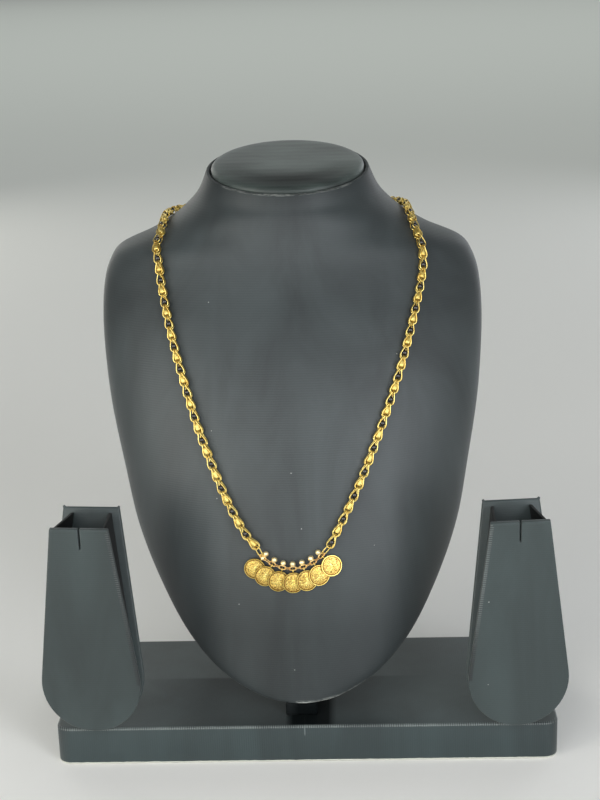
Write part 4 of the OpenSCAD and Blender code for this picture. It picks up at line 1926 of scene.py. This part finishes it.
@dataclass
class CoinFan:
    """The fan of coins on their connectors, with the small rings that join them."""

    coin: StruckCoin = field(default_factory=StruckCoin)
    link: SlottedLink = field(default_factory=SlottedLink)
    fan_x: float = -5.9
    fan_z: float = 130.8
    coin_lift: float = 1.6
    shingle: float = 9.0
    connector_r: float = 23.4
    connector_lift: float = 2.2
    clearance: float = 0.12
    aim_step: float = 2.0
    chain_wire_d: float = 0.76
    jump_wire_d: float = 0.7
    jump_turn: float = 36.0
    left_turn: float = 44.0
    jump_rise: float = 0.55
    jump_half_d: float = 2.1
    jump_out: float = 0.25
    jump_inset: float = 0.94

    def front_normal(self, x: float, z: float) -> Point:
        """Returns the bust's outward direction at a place seen from the front."""
        return BUST.normal(self.front_angle(x, z), z)

    def front_angle(self, x: float, z: float) -> float:
        """Returns the bust's angle at a place seen from the front."""
        return math.degrees(math.asin((x - BUST.centre_x(z)) / BUST.row(z)[1]))

    def front_point(self, x: float, z: float, lift: float) -> Point:
        """Returns the point that lies a lift off the bust at a place."""
        return BUST.skin(self.front_angle(x, z), z) + self.front_normal(x, z) * lift

    def fan_axes(self, r: float, turn: float, lift: float) -> Axes:
        """Gives the axes of a place in the fan.

        Args:
            r: distance from the fan's centre.
            turn: degrees from straight down.
            lift: distance off the bust.

        Returns:
            The axes, with local Z towards the fan's centre.
        """
        a = math.radians(turn)
        x, z = self.fan_x + r * math.sin(a), self.fan_z - r * math.cos(a)
        here = self.front_point(x, z, lift)
        inner_r = r - self.aim_step
        inner = self.front_point(self.fan_x + inner_r * math.sin(a),
                                 self.fan_z - inner_r * math.cos(a), lift)
        return Axes.along(here, inner - here, self.front_normal(x, z))

    def connector_axes(self, i: int) -> Axes:
        """Returns the axes of connector i, counted from zero."""
        return self.fan_axes(self.connector_r, UNIT_ROWS[i][0], self.connector_lift)

    def coin_axes(self, i: int) -> Axes:
        """Hangs a coin on its connector, turned as it lies in the fan.

        Args:
            i: the coin's number, from zero.

        Returns:
            The axes at the coin's middle.
        """
        here = self.fan_axes(UNIT_ROWS[i][2], UNIT_ROWS[i][1], self.coin_lift)
        held = self.connector_axes(i)
        reach = self.link.wire_d / math.sqrt(2)
        drop = (self.coin.loop_wire_d / 2 + reach + self.clearance - self.link.height / 2
                - self.coin.loop_r)
        hang = held.origin + held.z * drop
        away = hang - here.origin
        out = self.front_normal(here.origin[0], here.origin[2])
        middle = hang - unit(away) * (self.coin.diameter / 2 + self.coin.loop_rise)
        return Axes.along(middle, away, out)

    def jump_ring(self, route: ChainRoute, i: int, side: Side, turn: float,
                  gold: Material) -> None:
        """Bends the oval ring that hangs one end of the fan on its chain.

        Args:
            route: the chain's route.
            i: the connector that it holds.
            side: the side of the stand.
            turn: degrees that the ring is turned about its length.
            gold: its finish.
        """
        inset = side.value * (self.link.width / 2 - self.jump_inset)
        low = self.connector_axes(i).world((inset, 0, 0))
        arch_z = ChainSide.arch_z
        rise = (self.chain_wire_d + self.jump_wire_d) / 2 + self.clearance + self.jump_rise
        high = route.link_axes(0).world((0, -self.jump_out, arch_z + rise))
        axes = Axes.along((low + high) / 2, high - low, route.normal_at(0))
        length = float(np.linalg.norm(high - low))
        half = length / 2 - self.jump_half_d
        path = []
        for end in (1, -1):
            for k in range(9):
                a = math.radians(-90 + 22.5 * k)
                path.append((0.0, end * self.jump_half_d * math.sin(a),
                             end * (half + self.jump_half_d * math.cos(a))))
        ring = wire_loop(f"jump_ring_{side.word}_wire", path, self.jump_wire_d, steps=1, sides=2)
        ring.data.transform(axes.matrix(turn=turn))
        smooth(ring, angle=60)
        dress(ring, gold, Slot.GOLD, f"jump_ring_{side.word}")

    def build(self, coin_gold: Material, field_gold: Material,
              bead_gold: Material, link_gold: Material,
              gold: Material, left: ChainRoute, right: ChainRoute) -> None:
        """Builds the coins, the connectors and the rings of the fan.

        Args:
            coin_gold: finish of the coins' raised parts.
            field_gold: finish of their sunk field.
            bead_gold: finish of the balls.
            link_gold: finish of the slotted links and the rings between them.
            gold: finish of the other gold pieces.
            left: route of the left chain.
            right: route of the right chain.
        """
        coin = self.coin.model()
        link = self.link.model()
        first = self.link.model(low_ball=True)
        for i in range(len(UNIT_ROWS)):
            struck = placed_copy(coin, self.coin_axes(i).matrix(turn=self.shingle),
                                 f"coin_{i + 1}_struck")
            dress(struck, coin_gold, Slot.GOLD, f"coin_{i + 1}", second=field_gold)
            held = placed_copy(link if i else first, self.connector_axes(i).matrix(),
                               f"connector_{i + 1}_wire")
            dress(held, link_gold, Slot.GOLD, f"connector_{i + 1}", second=bead_gold)
        for i in range(len(UNIT_ROWS) - 1):
            ring = node_copy(f"joint_ring_{i + 1}", f"joint_ring_{i + 1}_wire")
            smooth(ring, angle=60)
            dress(ring, link_gold, Slot.GOLD, f"joint_ring_{i + 1}")
        for model in (coin, link, first):
            bpy.data.objects.remove(model)
        self.jump_ring(left, 0, Side.LEFT, self.left_turn, gold)
        self.jump_ring(right, len(UNIT_ROWS) - 1, Side.RIGHT, -self.jump_turn, gold)


@dataclass
class Clasp:
    """The plain hook and its two rings behind the neck."""

    nodes: tuple[str, ...] = ("clasp_ring_left", "clasp_ring_right", "clasp_hook")

    def build(self, gold: Material) -> None:
        """Smooths the clasp's pieces.

        Args:
            gold: their finish.
        """
        for node in self.nodes:
            piece = node_copy(node, node + "_wire")
            smooth(piece, angle=50)
            dress(piece, gold, Slot.GOLD, node)


@dataclass
class Studio:
    """The pale floor, the soft lights and the camera at the photograph's place."""

    target_mm: Triple = (2.05, -ORIGIN_Y, 211.66)
    distance_mm: float = 820.0
    elevation: float = 17.0
    azimuth: float = -1.9
    roll: float = -1.7
    lens_mm: float = 70.96
    sensor_mm: float = 36.0
    far_m: float = 60.0
    floor_m: float = 30.0
    floor_drop_mm: float = 0.05
    warm: str = "#fdfcf6"
    cool: str = "#f6f9ff"
    air_tone: str = "#f2f4f6"
    air_strength: float = 0.17

    def camera(self) -> None:
        """Places the camera by its target, distance and three angles."""
        e, a, r = (math.radians(v) for v in (self.elevation, self.azimuth, self.roll))
        look = Vector((math.sin(a) * math.cos(e), math.cos(a) * math.cos(e), -math.sin(e)))
        level = Vector((math.cos(a), -math.sin(a), 0))
        upright = level.cross(look)
        right = math.cos(r) * level + math.sin(r) * upright
        up = -math.sin(r) * level + math.cos(r) * upright
        place = (Vector(self.target_mm) - self.distance_mm * look) * MM
        data = bpy.data.cameras.new("photo_camera")
        data.sensor_fit = "VERTICAL"
        data.sensor_height = self.sensor_mm
        data.lens = self.lens_mm
        data.clip_end = self.far_m
        camera = bpy.data.objects.new("photo_camera", data)
        turn = Matrix((right, up, -look)).transposed().to_4x4()
        camera.matrix_world = Matrix.Translation(place) @ turn
        bpy.context.scene.collection.objects.link(camera)
        bpy.context.scene.camera = camera

    def floor(self, paint: Material) -> None:
        """Lays the floor under the stand.

        Args:
            paint: the floor's finish.
        """
        deselect()
        bpy.ops.mesh.primitive_plane_add(size=self.floor_m)
        floor = set_at(latest("studio_floor"), (0.0, 0.0, -self.floor_drop_mm))
        floor.data.materials.append(paint)

    def light(self, name: str, place: Triple, aim: tuple[float, ...],
              size: tuple[float, float], power: float, tone: str) -> None:
        """Hangs one softbox.

        Args:
            name: the light's name.
            place: its place in metres.
            aim: the place that it faces.
            size: its width and height in metres.
            power: its power in watts.
            tone: its colour.
        """
        data = bpy.data.lights.new(name, "AREA")
        data.shape = "RECTANGLE"
        data.size, data.size_y = size
        data.energy = power
        data.color = linear(tone)[:3]
        box = bpy.data.objects.new(name, data)
        box.location = place
        box.rotation_euler = (Vector(aim) - Vector(place)).to_track_quat("-Z", "Y").to_euler()
        bpy.context.scene.collection.objects.link(box)

    def build(self, paint: Material) -> None:
        """Builds the floor, the lights, the surrounding light and the camera.

        Args:
            paint: the floor's finish.
        """
        self.floor(paint)
        standing = (0.0, 0.0, 0.66)
        strip = (0.65, 1.3)
        low = (0.95, 0.22)
        rows = [
            # name, place, what it faces, width and height, watts, colour
            ("left", (-1.18, -0.93, 0.66), standing, strip, 13.5, self.warm),
            ("front_right", (0.84, -1.24, 0.66), standing, strip, 16.0, self.cool),
            ("right", (1.49, -0.13, 0.66), standing, strip, 1.5, self.warm),
            ("front", (-0.27, -1.54, 1.07), (0.0, 0.0, 0.17), (1.2, 1.2), 10.5, "#fbfdff"),
            ("low_left", (-1.1, -0.8, 0.125), (0.0, 0.0, 0.125), low, 0.7, self.warm),
            ("low_right", (1.0, -0.9, 0.125), (0.0, 0.0, 0.125), low, 0.9, self.cool),
            ("front_left", (-0.55, -1.3, 0.2), (-0.06, 0.0, 0.14), (0.3, 0.3), 2.6, self.warm),
            ("rear", (0.0, 6.0, 2.3), (0.0, 6.0, 0.0), (9.0, 8.0), 110.0, "#f4fff9"),
            ("far_front", (0.0, -7.5, 2.3), (0.0, -7.5, 0.0), (11.0, 8.0), 45.0, "#fdfdfb"),
            ("rear_left", (-1.1, 1.5, 0.6), (0.0, 0.0, 0.3), strip, 5.0, self.warm),
            ("rear_right", (1.1, 1.5, 0.6), (0.0, 0.0, 0.3), strip, 5.0, self.cool)]
        for name, place, aim, size, power, tone in rows:
            self.light("softbox_" + name, place, aim, size, power, tone)
        world = bpy.data.worlds.new("studio_air")
        world.use_nodes = True
        air = world.node_tree.nodes["Background"]
        air.inputs["Color"].default_value = linear(self.air_tone)
        air.inputs["Strength"].default_value = self.air_strength
        bpy.context.scene.world = world
        bpy.context.scene.view_settings.view_transform = "Standard"
        self.camera()


def main() -> None:
    """Builds every sub-assembly in order, dresses it and sets up the studio."""
    logging.basicConfig(level=logging.INFO, format="%(message)s")
    # Flat on the boards, so even and slightly blue-green black
    level_ribs = RibbedLeatherette("leatherette_level_ribs", dark="#202929",
                                   light="#313c3c").make()
    # Stretched over the boards' inner edges, with pale level ticks of painted highlight that
    # fade lower down
    level_fold_highlight = RibbedLeatherette(
        "leatherette_level_fold", dark="#1d2324", light="#505756", roughness=0.45,
        rib_depth_mm=0.07, rib_tone=0.4, grain_mm=0.9, ramp_low=0.72, ramp_high=1.2,
        fade_mm=(55.0, 95.0)).make()
    # Drawn over the form, so softly streaked, with the rim rubbed pale, painted shade under the
    # rim, on the shoulders and at the foot, and a painted highlight on the lowest edge
    bust_cover = RibbedLeatherette("leatherette_bust_cover", scuffs_and_highlight=True,
                                  marked_shade=True).make()
    # Stuffed tight and handled, so shinier; painted paler, in soft level blotches, for its
    # reflections, with painted shade down its side
    pad_cover = RibbedLeatherette(
        "leatherette_pad_cover", dark="#222827", light="#4b5551", roughness=0.4,
        streak_mm=16.0, streak_stretch=(0.22, 1.0, 1.0), marked_shade=True).make()
    # Pasted flat, so even, with one pale crease, a painted shadow under the bust and a pale
    # ragged edge of lining paper along the bottom
    base_cover = RibbedLeatherette(
        "leatherette_base_cover", axis=RibAxis.ACROSS, dark="#1b2627", light="#2a3738",
        paper_below_mm=1.4, crease_mm=(-0.9, -0.6, 17.5, 22.0),
        shade_mm=(-3.0, 8.0, -81.0, -25.0)).make()
    # Stretched over the base's upper edges, with pale ticks of painted highlight
    base_fold_highlight = RibbedLeatherette(
        "leatherette_base_fold", axis=RibAxis.ACROSS, dark="#1f2627", light="#5c6462",
        roughness=0.45, rib_depth_mm=0.07, rib_tone=0.4, grain_mm=0.9, ramp_low=0.66,
        ramp_high=1.2).make()
    # Folded away from the light, and painted nearly black, without shine, as painted shade
    gusset_cover = RibbedLeatherette(
        "leatherette_gusset", dark="#060808", light="#101313", roughness=0.7,
        shine=0.12).make()
    # Pasted on the block under the bust, and painted dark and dull as painted shade, deepest on
    # its right
    shaded_cover = RibbedLeatherette(
        "leatherette_shaded_block", dark="#0e1213", light="#181d1e", roughness=0.6,
        shine=0.15, shade_mm=(0.0, 20.0, -80.0, 0.0)).make()
    # Drawn wire, so bright along each bend
    chain_gold = PolishedGold("plated_gold_wire").make()
    # Cast balls, so even with a broad soft highlight, and painted pale for their whitish
    # highlights
    bead_gold = PolishedGold("plated_gold_balls", bright="#fff0c4", deep="#fbe3a4",
                             roughness=0.45).make()
    # Soldered wire, so a little redder than the rest
    link_gold = PolishedGold("plated_gold_slotted_links", bright="#eecb86", deep="#d6a062",
                             roughness=0.3).make()
    # Rolled and fluted sheet, so softer and a little greener
    barrel_gold = PolishedGold("plated_gold_barrels", bright="#e2cd7c", deep="#d4b45e",
                               roughness=0.42).make()
    # Struck relief, so bright on its heights, with brown patina at its feet and painted shade on
    # its edge
    coin_gold = PolishedGold("plated_gold_struck", bright="#e8d27c", deep="#dfc060",
                             roughness=0.28, patina=True, dent_mm=0.35,
                             dent_depth_mm=0.02).make()
    # The sunk ground round the relief, so dark and mottled, which makes the relief stand out
    field_gold = PolishedGold("plated_gold_sunk_field", bright="#e6c46c", deep="#724b22",
                              roughness=0.36, plating_mm=0.8, dent_mm=0.35,
                              dent_depth_mm=0.06).make()
    # Wound from the rod and fire-polished, so near black with a small hard highlight
    glass = BlackGlass("wound_black_glass").make()
    left = ChainRoute(LEFT_ROUTE)
    right = ChainRoute(RIGHT_ROUTE)
    StandBase().build(base_cover, base_fold_highlight, shaded_cover)
    BustShell().build(bust_cover, pad_cover)
    for side in Side:
        EarringHolder(side).build(level_ribs, level_fold_highlight, gusset_cover)
    ChainSide(Side.LEFT, left, first_bead=1).build(chain_gold, barrel_gold, glass)
    ChainSide(Side.RIGHT, right, first_bead=0).build(chain_gold, barrel_gold, glass)
    CoinFan().build(coin_gold, field_gold, bead_gold, link_gold, chain_gold, left, right)
    Clasp().build(chain_gold)
    # Rolled on, so even and matt, with a faint orange peel
    paint = MattePaint("pale_floor_paint").make()
    Studio().build(paint)


if __name__ == "__main__":
    main()
